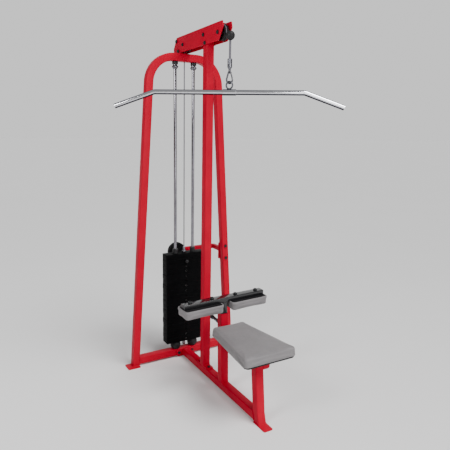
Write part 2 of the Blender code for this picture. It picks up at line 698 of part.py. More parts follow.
# Selector stem with the cable fitting on its top, standing on the head plate.
fit_z = head_top + 3 * GAP
stem = lathe(
    "selector_stem",
    [
        (0, 0.8050), (0.0060, 0.8050), (0.0085, 0.8010), (0.0085, fit_z + 0.020), (0.0145, fit_z + 0.016),
        (0.0145, fit_z), (STEM_R, fit_z), (STEM_R, 0.084), (0.0075, 0.0770), (0, 0.0770),
    ],
    STEEL, (0, HOOP_Y, 0), "z", 16,
)
hole(stem, "y", (0, HOOP_Y, pin_z), 0.0052, 0.05, 10)

# Selector pin, with a round knob in front of the stack.
lathe(
    "selector_pin",
    [
        (0, -0.0555), (0.0105, -0.0555), (0.0125, -0.0530), (0.0125, -0.0430), (0.0090, -0.0405), (0.0047, -0.0400),
        (0.0047, 0.0085), (0.0030, 0.0110), (0, 0.0110),
    ],
    NYLON, (0, HOOP_Y, pin_z), "y", 14,
)

# ----------------------------------------------------------------- cable
def arc(centre_y, centre_z, radius, start, end, steps):
    return [
        (0, centre_y + radius * math.cos(start + (end - start) * k / steps), centre_z + radius * math.sin(start + (end - start) * k / steps))
        for k in range(steps + 1)
    ]


boom_points = [(0, REAR_AXLE_Y + PITCH_R, AXLE_Z), (0, REAR_AXLE_Y + PITCH_R, AXLE_Z + 0.003)]
boom_points += arc(REAR_AXLE_Y, AXLE_Z, PITCH_R, 0, math.pi / 2, 6)[1:] + arc(FRONT_AXLE_Y, AXLE_Z, PITCH_R, math.pi / 2, math.pi, 6)[:-1]
boom_points += [(0, FRONT_AXLE_Y - PITCH_R, AXLE_Z + 0.003), (0, FRONT_AXLE_Y - PITCH_R, AXLE_Z)]
wire("cable_boom_run", boom_points, CABLE_R, COAT, 1)
wire(
    "cable_rear_run", [(0, HOOP_Y, 0.8050 + GAP), (0, HOOP_Y, 1.4), (0, HOOP_Y, AXLE_Z - GAP)], CABLE_R, COAT, 1
)
front_y = FRONT_AXLE_Y - PITCH_R
towards = (Vector((0, front_y, AXLE_Z - 0.010)) - Vector((0, CABLE_Y, BALL_Z))).normalized()
enter = Vector((0, CABLE_Y, BALL_Z)) + towards * (BALL_R + 0.0008)
front_points = [(0, front_y, AXLE_Z - GAP), (0, front_y, AXLE_Z - 0.003), (0, front_y - 0.0025, AXLE_Z - 0.0085), tuple(enter)]
wire("cable_front_run", front_points, CABLE_R * 0.97, COAT, 1)

# Stop ball, ferrule with its eye, snap hook and gate, eye ring and sleeve.
bm = bmesh.new()
bmesh.ops.create_uvsphere(bm, u_segments=18, v_segments=12, radius=BALL_R)
ball = add("ball_stop", mesh_from(bm, "ball_stop"), RUBBER, (0, CABLE_Y, BALL_Z))

FERRULE_TOP = 1.972
FERRULE_LOW = 1.925
HOOK_TOP = 1.909
HOOK_LOW = 1.8382
WIRE_R = 0.0045
RING_R = 0.0195         # centreline radius of the eye ring
RING_WIRE = 0.0046
RING_Z = HOOK_LOW + 2 * WIRE_R + 2 * GAP + RING_WIRE - RING_R
face_yaw = BAR_YAW
hook_yaw = face_yaw + math.radians(32)
ring_yaw = face_yaw - math.radians(32)

# Sheathed cable tail from the ball into a turned ferrule.
SHEATH_R = 0.0062
ferrule = wire(
    "cable_ferrule", [(0, CABLE_Y, BALL_Z - BALL_R - GAP), (0, CABLE_Y, FERRULE_TOP - 0.004)], SHEATH_R, STEEL, 1
)
sleeve_ring = [(0.0132 * math.cos(math.pi * k / 8), 0.0132 * math.sin(math.pi * k / 8)) for k in range(16)]
ferrule_body = outline_plate(
    "ferrule_body", sleeve_ring, FERRULE_TOP - FERRULE_LOW, None,
    (0, CABLE_Y, (FERRULE_TOP + FERRULE_LOW) / 2), (0, 0, hook_yaw + math.pi / 2), cutter=True,
)
# The eye below the ferrule loops under the hook's top.
EYE_WIRE = 0.0033
eye_low = HOOK_TOP - 2 * WIRE_R - GAP
eye = []
for k in range(13):
    angle = math.pi * k / 12
    eye.append((0.0080 * math.cos(angle), 0, eye_low - EYE_WIRE + 0.0080 - 0.0080 * math.sin(angle)))
eye = [(0.0050, 0, FERRULE_LOW + 0.006)] + eye + [(-0.0050, 0, FERRULE_LOW + 0.006)]
turn = Matrix.Rotation(hook_yaw + math.pi / 2, 4, "Z")
eye_obj = wire("ferrule_eye", [tuple(turn @ Vector(p)) for p in eye], EYE_WIRE, None, 1, location=(0, CABLE_Y, 0))
parts.objects.unlink(eye_obj)
cutters.objects.link(eye_obj)
eye_obj.hide_render = True
eye_obj.display_type = "WIRE"
boolean(ferrule, ferrule_body, "UNION")
boolean(ferrule, eye_obj, "UNION")

# Snap hook: a pear-shaped wire loop, open on one side where the gate sits.
hook_h = HOOK_TOP - HOOK_LOW - 2 * WIRE_R
low_r, top_r = 0.0190, 0.0085
low_c = HOOK_LOW + WIRE_R + low_r
top_c = HOOK_TOP - WIRE_R - top_r
lean = math.asin((low_r - top_r) / (top_c - low_c))
nose = (top_r * math.cos(lean) + 0.0036 * math.sin(lean), top_c + top_r * math.sin(lean) - 0.0036 * math.cos(lean))
loop = [nose]
for k in range(6):
    angle = lean + (math.pi - 2 * lean) * k / 5
    loop.append((top_r * math.cos(angle), top_c + top_r * math.sin(angle)))
for k in range(11):
    angle = math.pi - lean + (math.pi + 2 * lean - math.radians(8)) * k / 10
    loop.append((low_r * math.cos(angle), low_c + low_r * math.sin(angle)))
turn = Matrix.Rotation(hook_yaw, 4, "Z")
wire("snap_hook", [tuple(turn @ Vector((x, 0, z))) for x, z in loop], WIRE_R, STEEL, 1, location=(0, CABLE_Y, 0))
gate_a = Vector((nose[0] + 0.0012 * math.sin(lean), 0, nose[1] - 0.0012 * math.cos(lean)))
gate_b = Vector((loop[-1][0] - 0.0004, 0, loop[-1][1] + 0.0046))
GATE_PIVOT = turn @ gate_b + Vector((0, CABLE_Y, 0))
gate = wire("hook_gate", [tuple(turn @ (p - gate_b)) for p in (gate_b, gate_a)], WIRE_R * 0.8, STEEL, 1, location=GATE_PIVOT)

# Eye ring on a sleeve in which the pull bar turns.
bar_dir = Vector((math.cos(BAR_YAW), math.sin(BAR_YAW), 0))
ring_pts = []
turn = Matrix.Rotation(ring_yaw, 4, "Z")
for k in range(28):
    angle = 2 * math.pi * k / 28
    ring_pts.append(tuple(turn @ Vector((RING_R * math.cos(angle), 0, RING_R * math.sin(angle)))))
ring_obj = wire("eye_ring", ring_pts, RING_WIRE, None, 1, cyclic=True, location=(0, CABLE_Y, RING_Z))
parts.objects.unlink(ring_obj)
cutters.objects.link(ring_obj)
ring_obj.hide_render = True
ring_obj.display_type = "WIRE"
hanger = lathe(
    "bar_hanger",
    [(BAR_R + 0.0004, 0.0375), (0.0158, 0.0375), (0.0170, 0.0360), (0.0170, -0.0360), (0.0158, -0.0375), (BAR_R + 0.0004, -0.0375)],
    STEEL, (0, CABLE_Y, BAR_Z), "x", 20,
)
hanger.rotation_euler = (0, math.pi / 2, BAR_YAW)
boolean(hanger, ring_obj, "UNION")
bore = cylinder("cut_bar_bore", "x", (0, CABLE_Y, BAR_Z), BAR_R + 0.0004, 0.09, segments=20, cutter=True)
bore.rotation_euler = (0, 0, BAR_YAW)
boolean(hanger, bore)

# Pull bar: straight middle and two ends bent down.
bend_len = math.hypot(BAR_REACH - BAR_FLAT, BAR_DROP)
down = math.atan2(BAR_DROP, BAR_REACH - BAR_FLAT)
bend_r = 0.045
cut = bend_r * math.tan(down / 2)
half_pts = [(BAR_FLAT - cut, 0.0)]
for k in range(1, 5):
    a = down * k / 4
    half_pts.append((BAR_FLAT - cut + bend_r * math.sin(a), -bend_r * (1 - math.cos(a))))
half_pts.append((BAR_REACH, -BAR_DROP))
bar_pts = [(-x, z) for x, z in reversed(half_pts)] + half_pts
turn = Matrix.Rotation(BAR_YAW, 4, "Z")
wire("lat_bar", [tuple(turn @ Vector((x, 0, z))) for x, z in bar_pts], BAR_R, CHROME, 3, location=(0, CABLE_Y, BAR_Z))

# ------------------------------------------------------------ thigh pads
REST_X = 0.006           # the cross tube and pads sit a little to the right
# Black T: a tube that slides in the post, with a cross tube on its top.
slider = tube("thigh_slider", "z", (-0.0205, THIGH_Y - 0.0205, 0.190), (0.0205, THIGH_Y + 0.0205, BAR2_Z0 + 0.003), BLACK, 0.0025, 0.004)
cross_mesh, cross_mid = tube_mesh("thigh_cross", "x", (REST_X - 0.2735, THIGH_Y - 0.025, BAR2_Z0), (REST_X + 0.2735, THIGH_Y + 0.025, BAR2_Z1), 0.003)
cross = add("thigh_cross", cross_mesh, None, cross_mid, cutter=True)
solidify(cross, 0.0025)
boolean(slider, cross, "UNION")
for k in range(4):
    hole(slider, "y", (0, THIGH_Y + 0.0205, PIN_Z - 0.045 * k), 0.0055, 0.012, 10)
PAD_MID = (PAD_IN + PAD_OUT) / 2
PAD_BOLTS = (("inner", 0.0813), ("outer", 0.2280))
for side, label in ((-1, "left"), (1, "right")):
    inner, outer = sorted((REST_X + side * PAD_IN, REST_X + side * PAD_OUT))
    board_z = BAR2_Z0 - GAP - 0.010
    board = box(
        "pad_board_" + label, (inner, THIGH_Y - PAD_D / 2, board_z), (outer, THIGH_Y + PAD_D / 2, BAR2_Z0 - GAP), BOARD, 0.022, "z", 3,
    )
    box(
        "thigh_pad_" + label, (inner, THIGH_Y - PAD_D / 2, PAD_Z0), (outer, THIGH_Y + PAD_D / 2, board_z - GAP), VINYL, 0.022, "z", 3,
    )
    for place, reach in PAD_BOLTS:
        x = REST_X + side * reach
        hole(slider, "z", (x, THIGH_Y, (BAR2_Z0 + BAR2_Z1) / 2), 0.0045, 0.06, 10)
        hole(board, "z", (x, THIGH_Y, BAR2_Z0), 0.0045, 0.016, 10)
        bolt(
            "pad_bolt_%s_%s" % (label, place), "z", (x, THIGH_Y, BAR2_Z1 + GAP), 0.0355, radius=0.004, head=0.0125,
            head_t=0.0110, nut=0, sign=-1,
        )

# Pull pin: sprung plunger in a housing on the back of the thigh post.
back = THIGH_Y + 0.025 + GAP
lathe(
    "pin_housing",
    [(0.0058, 0.0880), (0.0095, 0.0880), (0.0095, 0.0420), (0.0125, 0.0400), (0.0140, 0.0), (0.0058, 0.0)],
    STEEL, (0, back, PIN_Z), "y", 16, flip=False,
)
lathe(
    "pull_pin",
    [
        (0, 0.1160), (0.0105, 0.1160), (0.0130, 0.1130), (0.0130, 0.0920), (0.0100, 0.0890), (0.0050, 0.0885),
        (0.0050, -0.0030), (0.0040, -0.0037), (0, -0.0037),
    ],
    NYLON, (0, back, PIN_Z), "y", 14,
)

# The thigh post leans a little to the left, and the rest on it tilts with it.
LEAN = math.radians(1.25)
turned = (
    Matrix.Translation((0, 0, BEAM_Z1 + GAP)) @ Matrix.Rotation(-LEAN, 4, "Y") @ Matrix.Translation((0, 0, -BEAM_Z1 - GAP))
)
group = [obj for obj in parts.objects if obj.name.startswith(("thigh_slider", "thigh_pad", "pad_", "pin_housing", "pull_pin"))]
helpers = {mod.object for obj in group + [thigh_post] for mod in obj.modifiers if mod.type == "BOOLEAN"}
for obj in [*group, *helpers]:
    obj.matrix_basis = turned @ obj.matrix_basis
for vert in thigh_post.data.vertices:
    vert.co.x -= math.tan(LEAN) * (vert.co.z + thigh_post.location.z - BEAM_Z1 - GAP)

# ------------------------------------------------------------------ seat
def seat_outline(grow):
    return rounded(
        [
            (-SEAT_HALF_REAR - grow, SEAT_REAR + grow), (-SEAT_HALF_FRONT - grow, SEAT_FRONT - grow),
            (SEAT_HALF_FRONT + grow, SEAT_FRONT - grow), (SEAT_HALF_REAR + grow, SEAT_REAR + grow),
        ],
        [0.024, 0.028, 0.028, 0.024], 4,
    )


board_t = 0.008
outline_plate("seat_board", seat_outline(0.0), board_t, BOARD, (0, 0, RAIL_Z1 + GAP + board_t / 2))
pad_z = RAIL_Z1 + 2 * GAP + board_t
outline_plate("seat_cushion", seat_outline(-0.001), SEAT_TOP - pad_z, VINYL, (0, 0, (SEAT_TOP + pad_z) / 2))

# ----------------------------------------------------- remaining bolts
for side, label in ((-1, "left"), (1, "right")):
    bolt("beam_bolt_" + label, "y", (side * FLANGE_X, HOOP_Y - 0.025 - 2 * GAP - PLATE, 0.034), 0.0566 + GAP)
for side, label in ((-1, "front"), (1, "rear")):
    bolt(
        "post_bolt_" + label, "z", (0, POST_Y + side * 0.0535, BEAM_Z1 + 2 * GAP + PLATE), 0.016, head=0.0095, nut=0, sign=-1,
    )

for obj in parts.objects:
    if obj.type == "MESH" and not obj.data.materials:
        obj.data.materials.append(RED)
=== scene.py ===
import json
import math

import bmesh
import bpy
import numpy as np
from mathutils import Matrix, Vector

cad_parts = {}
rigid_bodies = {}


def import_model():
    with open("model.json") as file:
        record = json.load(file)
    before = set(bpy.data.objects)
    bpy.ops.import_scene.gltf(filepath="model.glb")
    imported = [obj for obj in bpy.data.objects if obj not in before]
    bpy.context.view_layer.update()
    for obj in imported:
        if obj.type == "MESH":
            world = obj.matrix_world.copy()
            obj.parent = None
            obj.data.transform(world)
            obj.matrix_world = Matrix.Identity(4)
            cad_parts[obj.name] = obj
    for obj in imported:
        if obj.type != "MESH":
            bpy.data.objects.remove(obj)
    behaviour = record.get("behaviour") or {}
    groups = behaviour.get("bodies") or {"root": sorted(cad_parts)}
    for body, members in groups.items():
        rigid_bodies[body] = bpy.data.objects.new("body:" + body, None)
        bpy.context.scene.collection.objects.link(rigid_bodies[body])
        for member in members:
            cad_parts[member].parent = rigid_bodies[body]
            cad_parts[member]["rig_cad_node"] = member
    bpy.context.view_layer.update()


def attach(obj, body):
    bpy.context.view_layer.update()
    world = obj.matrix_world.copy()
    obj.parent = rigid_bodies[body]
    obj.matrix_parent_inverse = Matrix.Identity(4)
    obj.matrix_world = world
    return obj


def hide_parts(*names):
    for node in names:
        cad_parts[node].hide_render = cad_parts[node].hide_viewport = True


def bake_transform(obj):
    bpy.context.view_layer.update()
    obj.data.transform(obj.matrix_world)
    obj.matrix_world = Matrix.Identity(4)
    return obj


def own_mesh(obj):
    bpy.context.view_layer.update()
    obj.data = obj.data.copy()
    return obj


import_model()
PI = math.pi

for extra in ("Cube", "Light", "Camera"):
    if extra in bpy.data.objects and "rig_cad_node" not in bpy.data.objects[extra]:
        bpy.data.objects.remove(bpy.data.objects[extra], do_unlink=True)

# ------------------------------------------------------------------ sizes
# The same values as the solids', in metres.
GAP = 0.0003
TUBE, WALL, CORNER, PLATE = 0.050, 0.003, 0.005, 0.006
POST_Y, HOOP_Y, THIGH_Y, CABLE_Y = 0.1093, 0.4262, -0.1217, -0.1292
HOOP_FOOT_X, HOOP_SPLAY, HOOP_TOP_Z, HOOP_BEND, HOOP_W, FOOT_Z = 0.3732, 0.0656, 2.0705, 0.171, 0.048, 0.0062
BEAM_Z0, BEAM_Z1, POST_TOP = 0.012, 0.062, 2.150
PLATE_PITCH, PLATES_REST, STACK_Z0, STACK_W, STACK_D = 0.03568, 16, 0.118, 0.296, 0.074
ROD_X, ROD_R, STEM_R = 0.066, 0.010, 0.011
CABLE_R, PULLEY_R, PITCH_R, AXLE_Z = 0.0035, 0.0445, 0.0400, 2.1200
FRONT_AXLE_Y, REAR_AXLE_Y = POST_Y - 0.1574, HOOP_Y - PITCH_R
BOOM_IN, BOOM_T = 0.0253, 0.006
BAR_Z, BAR_R, BAR_YAW, BAR_FLAT, BAR_REACH, BAR_DROP = 1.7949, 0.0138, math.radians(-29.8), 0.4158, 0.6361, 0.0783
BALL_Z, BALL_R = 2.092, 0.025
SEAT_TOP, SEAT_REAR, SEAT_FRONT, SEAT_HALF_REAR, SEAT_HALF_FRONT = 0.453, POST_Y - 0.2690, POST_Y - 0.7145, 0.1080, 0.1655
RAIL_Z0, RAIL_Z1 = 0.3542, 0.3942
PAD_IN, PAD_OUT, PAD_D, PAD_Z0, REST_X = 0.0285, 0.2827, 0.1232, 0.5315, 0.006
BAR2_Z0, BAR2_Z1, THIGH_TOP, PIN_Z = 0.5832, 0.6123, 0.511, 0.436
LEAN = math.radians(1.25)  # the thigh post leans left by this much
SHEATH_R = 0.0062
splay = math.atan(HOOP_SPLAY)


def leg_x(z):
    return HOOP_FOOT_X - HOOP_SPLAY * z


# -------------------------------------------------------------- materials
def shader(name, base, rough, metal=0.0, **sockets):
    mat = bpy.data.materials.new(name)
    mat.use_nodes = True
    node = mat.node_tree.nodes["Principled BSDF"]
    node.inputs["Base Color"].default_value = (*base, 1.0)
    node.inputs["Roughness"].default_value = rough
    node.inputs["Metallic"].default_value = metal
    for key, value in sockets.items():
        node.inputs[key.replace("_", " ")].default_value = value
    return mat


def coords(mat, stretch=(1, 1, 1)):
    tree = mat.node_tree
    found = tree.nodes.get("coords_%s" % (stretch,))
    if found:
        return found
    source = tree.nodes.new("ShaderNodeTexCoord")
    mapping = tree.nodes.new("ShaderNodeMapping")
    mapping.name = "coords_%s" % (stretch,)
    mapping.inputs["Scale"].default_value = stretch
    tree.links.new(source.outputs["Object"], mapping.inputs["Vector"])
    return mapping


def noise(mat, scale, detail=3.0, rough=0.55, stretch=(1, 1, 1)):
    node = mat.node_tree.nodes.new("ShaderNodeTexNoise")
    node.inputs["Scale"].default_value = scale
    node.inputs["Detail"].default_value = detail
    node.inputs["Roughness"].default_value = rough
    mat.node_tree.links.new(coords(mat, stretch).outputs[0], node.inputs["Vector"])
    return node.outputs[0]


def cells(mat, scale, feature="F1", stretch=(1, 1, 1)):
    node = mat.node_tree.nodes.new("ShaderNodeTexVoronoi")
    node.feature = feature
    node.inputs["Scale"].default_value = scale
    mat.node_tree.links.new(coords(mat, stretch).outputs[0], node.inputs["Vector"])
    return node.outputs["Distance"]


def remap(mat, value, low, high, to_low, to_high):
    node = mat.node_tree.nodes.new("ShaderNodeMapRange")
    for key, number in zip(("From Min", "From Max", "To Min", "To Max"), (low, high, to_low, to_high)):
        node.inputs[key].default_value = number
    mat.node_tree.links.new(value, node.inputs["Value"])
    return node.outputs[0]


def tint(mat, value, colors):
    """Base colour from a ramp of (place, colour)."""
    node = mat.node_tree.nodes.new("ShaderNodeValToRGB")
    ramp = node.color_ramp
    ramp.elements[0].position, ramp.elements[1].position = colors[0][0], colors[-1][0]
    for place, color in colors[1:-1]:
        ramp.elements.new(place)
    for element, (place, color) in zip(ramp.elements, colors):
        element.color = (*color, 1.0)
    mat.node_tree.links.new(value, node.inputs[0])
    mat.node_tree.links.new(node.outputs[0], mat.node_tree.nodes["Principled BSDF"].inputs["Base Color"])


def roughen(mat, value, low, high, to_low, to_high):
    mat.node_tree.links.new(remap(mat, value, low, high, to_low, to_high), mat.node_tree.nodes["Principled BSDF"].inputs["Roughness"])


def bump(mat, value, distance, strength=1.0):
    """Adds a bump on top of the ones already there."""
    tree = mat.node_tree
    node = tree.nodes.new("ShaderNodeBump")
    node.inputs["Strength"].default_value = strength
    node.inputs["Distance"].default_value = distance
    tree.links.new(value, node.inputs["Height"])
    target = tree.nodes["Principled BSDF"].inputs["Normal"]
    if target.is_linked:
        tree.links.new(target.links[0].from_socket, node.inputs["Normal"])
    tree.links.new(node.outputs[0], target)


# Red powder coat: fine orange peel, with a faint change of tone.
RED = shader("red_powder_coat", (0.42, 0.0002, 0.020), 0.42, Specular_IOR_Level=0.06, Coat_Weight=0.01, Coat_Roughness=0.12)
tint(RED, noise(RED, 9.0, 4.0), [(0.30, (0.40, 0.0002, 0.0185)), (0.72, (0.455, 0.0003, 0.0210))])
roughen(RED, noise(RED, 60.0, 4.0), 0.3, 0.7, 0.30, 0.42)
bump(RED, noise(RED, 520.0, 2.0), 0.00012, 0.35)

CHROME = shader("chrome_plate", (0.74, 0.75, 0.80), 0.07, 1.0, Specular_Tint=(0.22, 0.22, 0.28, 1.0))
tint(CHROME, noise(CHROME, 14.0, 3.0), [(0.3, (0.68, 0.69, 0.75)), (0.7, (0.76, 0.77, 0.82))])
roughen(CHROME, noise(CHROME, 130.0, 3.0), 0.3, 0.7, 0.045, 0.10)

# Plated bar: painted reflection. Its colour is painted bright along its middle as a highlight and dark above and below
# as shade, by the way each spot faces.
PAINTED_REFLECTION_BAR = shader("plated_bar_painted_reflection", (0.8, 0.81, 0.85), 0.09, 1.0, Specular_Tint=(0.2, 0.2, 0.25, 1.0))
facing = PAINTED_REFLECTION_BAR.node_tree.nodes.new("ShaderNodeSeparateXYZ")
PAINTED_REFLECTION_BAR.node_tree.links.new(PAINTED_REFLECTION_BAR.node_tree.nodes.new("ShaderNodeTexCoord").outputs["Normal"], facing.inputs[0])
# The ramp over the normal's height paints shade under and over the bar and a highlight along its middle.
tint(PAINTED_REFLECTION_BAR, remap(PAINTED_REFLECTION_BAR, facing.outputs["Z"], -1.0, 1.0, 0.0, 1.0), [(0.20, (0.05, 0.05, 0.06)), (0.34, (0.72, 0.72, 0.76)), (0.62, (0.95, 0.95, 0.98)), (0.86, (0.86, 0.87, 0.95)), (0.95, (0.22, 0.22, 0.27))])
roughen(PAINTED_REFLECTION_BAR, noise(PAINTED_REFLECTION_BAR, 130.0, 3.0), 0.3, 0.7, 0.06, 0.12)

ROD = shader("ground_steel_rod", (0.24, 0.235, 0.26), 0.13, 1.0, Specular_Tint=(0.3, 0.3, 0.34, 1.0))
tint(ROD, noise(ROD, 22.0, 3.0), [(0.3, (0.20, 0.195, 0.22)), (0.7, (0.29, 0.285, 0.31))])
roughen(ROD, noise(ROD, 400.0, 2.0, 0.5, (1, 1, 0.02)), 0.3, 0.7, 0.12, 0.22)
bump(ROD, noise(ROD, 900.0, 2.0, 0.5, (1, 1, 0.01)), 0.00003, 0.3)

ZINC = shader("bright_zinc", (0.17, 0.17, 0.19), 0.26, 1.0, Specular_Tint=(0.12, 0.12, 0.15, 1.0))
tint(ZINC, noise(ZINC, 60.0, 4.0), [(0.25, (0.13, 0.13, 0.15)), (0.75, (0.21, 0.21, 0.23))])
roughen(ZINC, noise(ZINC, 240.0, 3.0), 0.3, 0.7, 0.18, 0.34)
bump(ZINC, noise(ZINC, 700.0, 2.0), 0.00004, 0.4)

# Dull, darkened zinc of the hook and its ring.
LINK = shader("dull_zinc_link", (0.10, 0.10, 0.115), 0.36, 1.0, Specular_Tint=(0.10, 0.10, 0.13, 1.0))
tint(LINK, noise(LINK, 90.0, 4.0), [(0.25, (0.070, 0.070, 0.082)), (0.75, (0.135, 0.135, 0.150))])
roughen(LINK, noise(LINK, 260.0, 3.0), 0.3, 0.7, 0.28, 0.44)
bump(LINK, noise(LINK, 800.0, 2.0), 0.00004, 0.4)

IRON = shader("black_cast_iron", (0.0012, 0.0012, 0.0016), 0.50, Specular_IOR_Level=0.04)
tint(IRON, noise(IRON, 35.0, 5.0), [(0.3, (0.0008, 0.0008, 0.0011)), (0.75, (0.0024, 0.0024, 0.0028))])
roughen(IRON, noise(IRON, 90.0, 4.0), 0.3, 0.7, 0.40, 0.56)
bump(IRON, noise(IRON, 420.0, 4.0), 0.00022, 0.5)

BARE = shader("machined_iron", (0.14, 0.135, 0.135), 0.40, 1.0)
tint(BARE, noise(BARE, 300.0, 3.0), [(0.3, (0.09, 0.085, 0.085)), (0.7, (0.19, 0.185, 0.18))])

GLOSS = shader("black_gloss_paint", (0.004, 0.004, 0.005), 0.12, Specular_IOR_Level=0.3, Coat_Weight=0.6, Coat_Roughness=0.05, Coat_IOR=1.5)
tint(GLOSS, noise(GLOSS, 30.0, 3.0), [(0.3, (0.005, 0.005, 0.006)), (0.7, (0.009, 0.009, 0.010))])
roughen(GLOSS, noise(GLOSS, 90.0, 3.0), 0.3, 0.7, 0.07, 0.14)
bump(GLOSS, noise(GLOSS, 160.0, 2.0), 0.00008, 0.25)

RUBBER = shader("black_rubber", (0.007, 0.007, 0.008), 0.55, Specular_IOR_Level=0.3)
tint(RUBBER, noise(RUBBER, 45.0, 4.0), [(0.3, (0.005, 0.005, 0.006)), (0.75, (0.011, 0.010, 0.011))])
roughen(RUBBER, noise(RUBBER, 150.0, 3.0), 0.3, 0.7, 0.44, 0.64)
bump(RUBBER, noise(RUBBER, 900.0, 3.0), 0.00008, 0.4)

NYLON = shader("black_nylon", (0.007, 0.007, 0.008), 0.34, Specular_IOR_Level=0.34)
tint(NYLON, noise(NYLON, 70.0, 3.0), [(0.3, (0.005, 0.005, 0.006)), (0.7, (0.010, 0.010, 0.011))])
roughen(NYLON, noise(NYLON, 260.0, 3.0), 0.3, 0.7, 0.28, 0.42)
bump(NYLON, noise(NYLON, 1100.0, 2.0), 0.00004, 0.4)

OXIDE = shader("black_oxide", (0.007, 0.009, 0.010), 0.38, 0.2, Specular_IOR_Level=0.4)
tint(OXIDE, noise(OXIDE, 260.0, 4.0), [(0.3, (0.004, 0.005, 0.006)), (0.75, (0.012, 0.015, 0.016))])
roughen(OXIDE, noise(OXIDE, 420.0, 3.0), 0.3, 0.7, 0.28, 0.46)

# Grey upholstery vinyl: pebbled grain of about a millimetre, soft sheen.
VINYL = shader("grey_vinyl", (0.168, 0.159, 0.163), 0.52, Specular_IOR_Level=0.34, Sheen_Weight=0.12, Sheen_Roughness=0.5)
tint(VINYL, noise(VINYL, 7.0, 5.0), [(0.30, (0.153, 0.144, 0.148)), (0.70, (0.183, 0.173, 0.176))])
roughen(VINYL, noise(VINYL, 45.0, 4.0), 0.3, 0.7, 0.45, 0.60)
bump(VINYL, cells(VINYL, 900.0, "SMOOTH_F1"), 0.00016, 0.45)
bump(VINYL, noise(VINYL, 2200.0, 2.0), 0.00005, 0.3)
bump(VINYL, noise(VINYL, 28.0, 2.0), 0.0010, 0.25)

BOARD = shader("black_board_cover", (0.006, 0.006, 0.007), 0.58, Specular_IOR_Level=0.22)
tint(BOARD, noise(BOARD, 90.0, 4.0), [(0.3, (0.004, 0.004, 0.005)), (0.7, (0.010, 0.009, 0.010))])
bump(BOARD, noise(BOARD, 1400.0, 3.0), 0.00010, 0.5)

# Clear grey coat over a stranded wire rope.
COAT = shader("grey_cable_coat", (0.11, 0.105, 0.12), 0.45, Specular_IOR_Level=0.2, Coat_Weight=0.05, Coat_Roughness=0.2)
wave = COAT.node_tree.nodes.new("ShaderNodeTexWave")
wave.bands_direction = "DIAGONAL"
wave.inputs["Scale"].default_value = 130.0
wave.inputs["Distortion"].default_value = 1.2
COAT.node_tree.links.new(coords(COAT).outputs[0], wave.inputs["Vector"])
tint(COAT, wave.outputs[0], [(0.1, (0.085, 0.080, 0.095)), (0.9, (0.155, 0.148, 0.168))])
bump(COAT, wave.outputs[0], 0.00012, 0.35)

KNOB = NYLON


# ---------------------------------------------------------------- meshes
def smooth(mesh, angle=34):
    mesh.shade_smooth()
    mesh.set_sharp_from_angle(angle=math.radians(angle))


def make(name, verts, faces, mat, body, angle=34):
    mesh = bpy.data.meshes.new(name)
    mesh.from_pydata([tuple(v) for v in verts], [], faces)
    bm = bmesh.new()
    bm.from_mesh(mesh)
    bmesh.ops.remove_doubles(bm, verts=bm.verts, dist=1e-7)
    bmesh.ops.recalc_face_normals(bm, faces=bm.faces)
    bm.to_mesh(mesh)
    bm.free()
    smooth(mesh, angle)
    mesh.materials.append(mat)
    obj = bpy.data.objects.new(name, mesh)
    bpy.context.scene.collection.objects.link(obj)
    if body:
        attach(obj, body)
    return obj


def loft(rings, closed_ends=True, cyclic=False):
    """Faces between equal rings of points; the ends are capped, or joined when cyclic."""
    count = len(rings[0])
    verts = [v for ring in rings for v in ring]
    faces = []
    spans = len(rings) if cyclic else len(rings) - 1
    for k in range(spans):
        a, b = k * count, ((k + 1) % len(rings)) * count
        for i in range(count):
            j = (i + 1) % count
            faces.append((a + i, a + j, b + j, b + i))
    if closed_ends and not cyclic:
        faces.append(tuple(reversed(range(count))))
        faces.append(tuple((len(rings) - 1) * count + i for i in range(count)))
    return verts, faces


def merge(*shapes):
    verts, faces = [], []
    for v, f in shapes:
        base = len(verts)
        verts += [Vector(p) for p in v]
        faces += [tuple(base + i for i in face) for face in f]
    return verts, faces


def moved(shape, matrix):
    return [matrix @ Vector(v) for v in shape[0]], shape[1]


AXES = {
    "z": Matrix.Identity(4),
    "x": Matrix(((0, 0, 1, 0), (1, 0, 0, 0), (0, 1, 0, 0), (0, 0, 0, 1))),
    "y": Matrix(((0, 1, 0, 0), (0, 0, 1, 0), (1, 0, 0, 0), (0, 0, 0, 1))),
}


def lathe(profile, axis="z", at=(0, 0, 0), steps=56, turn=0.0):
    """A closed outline of (radius, height), turned about the axis through a point."""
    rings = []
    for radius, height in profile:
        rings.append([
            (radius * math.cos(2 * PI * k / steps + turn), radius * math.sin(2 * PI * k / steps + turn), height)
            for k in range(steps)
        ])
    closed = profile[0][0] > 1e-7 and profile[-1][0] > 1e-7
    verts, faces = loft(rings, closed_ends=not closed, cyclic=closed)
    return moved((verts, faces), Matrix.Translation(at) @ AXES[axis])


def arc_points(cx, cy, radius, start, end, steps):
    return [(cx + radius * math.cos(start + (end - start) * k / steps), cy + radius * math.sin(start + (end - start) * k / steps)) for k in range(steps + 1)]


def softened(profile, radius=0.001, steps=3):
    """Rounds each corner of a (radius, height) outline that lies off the axis."""
    out = []
    count = len(profile)
    for i, point in enumerate(profile):
        here = Vector(point)
        back, ahead = Vector(profile[i - 1]) - here, Vector(profile[(i + 1) % count]) - here
        if point[0] < 1e-6 or back.length < 1e-6 or ahead.length < 1e-6:
            out.append(tuple(here))
            continue
        angle = back.angle(ahead)
        if angle > math.radians(168):
            out.append(tuple(here))
            continue
        reach = min(radius / math.tan(angle / 2), 0.45 * back.length, 0.45 * ahead.length)
        a, b = here + back.normalized() * reach, here + ahead.normalized() * reach
        for k in range(steps + 1):
            t = k / steps
            out.append(tuple(a * (1 - t) ** 2 + here * 2 * t * (1 - t) + b * t ** 2))
    return out


def round_rect(w, h, r, seg=5):
    out = []
    for cx, cy, start in ((w / 2 - r, h / 2 - r, 0), (-w / 2 + r, h / 2 - r, PI / 2), (-w / 2 + r, -h / 2 + r, PI), (w / 2 - r, -h / 2 + r, 1.5 * PI)):
        out += arc_points(cx, cy, r, start, start + PI / 2, seg)
    return out


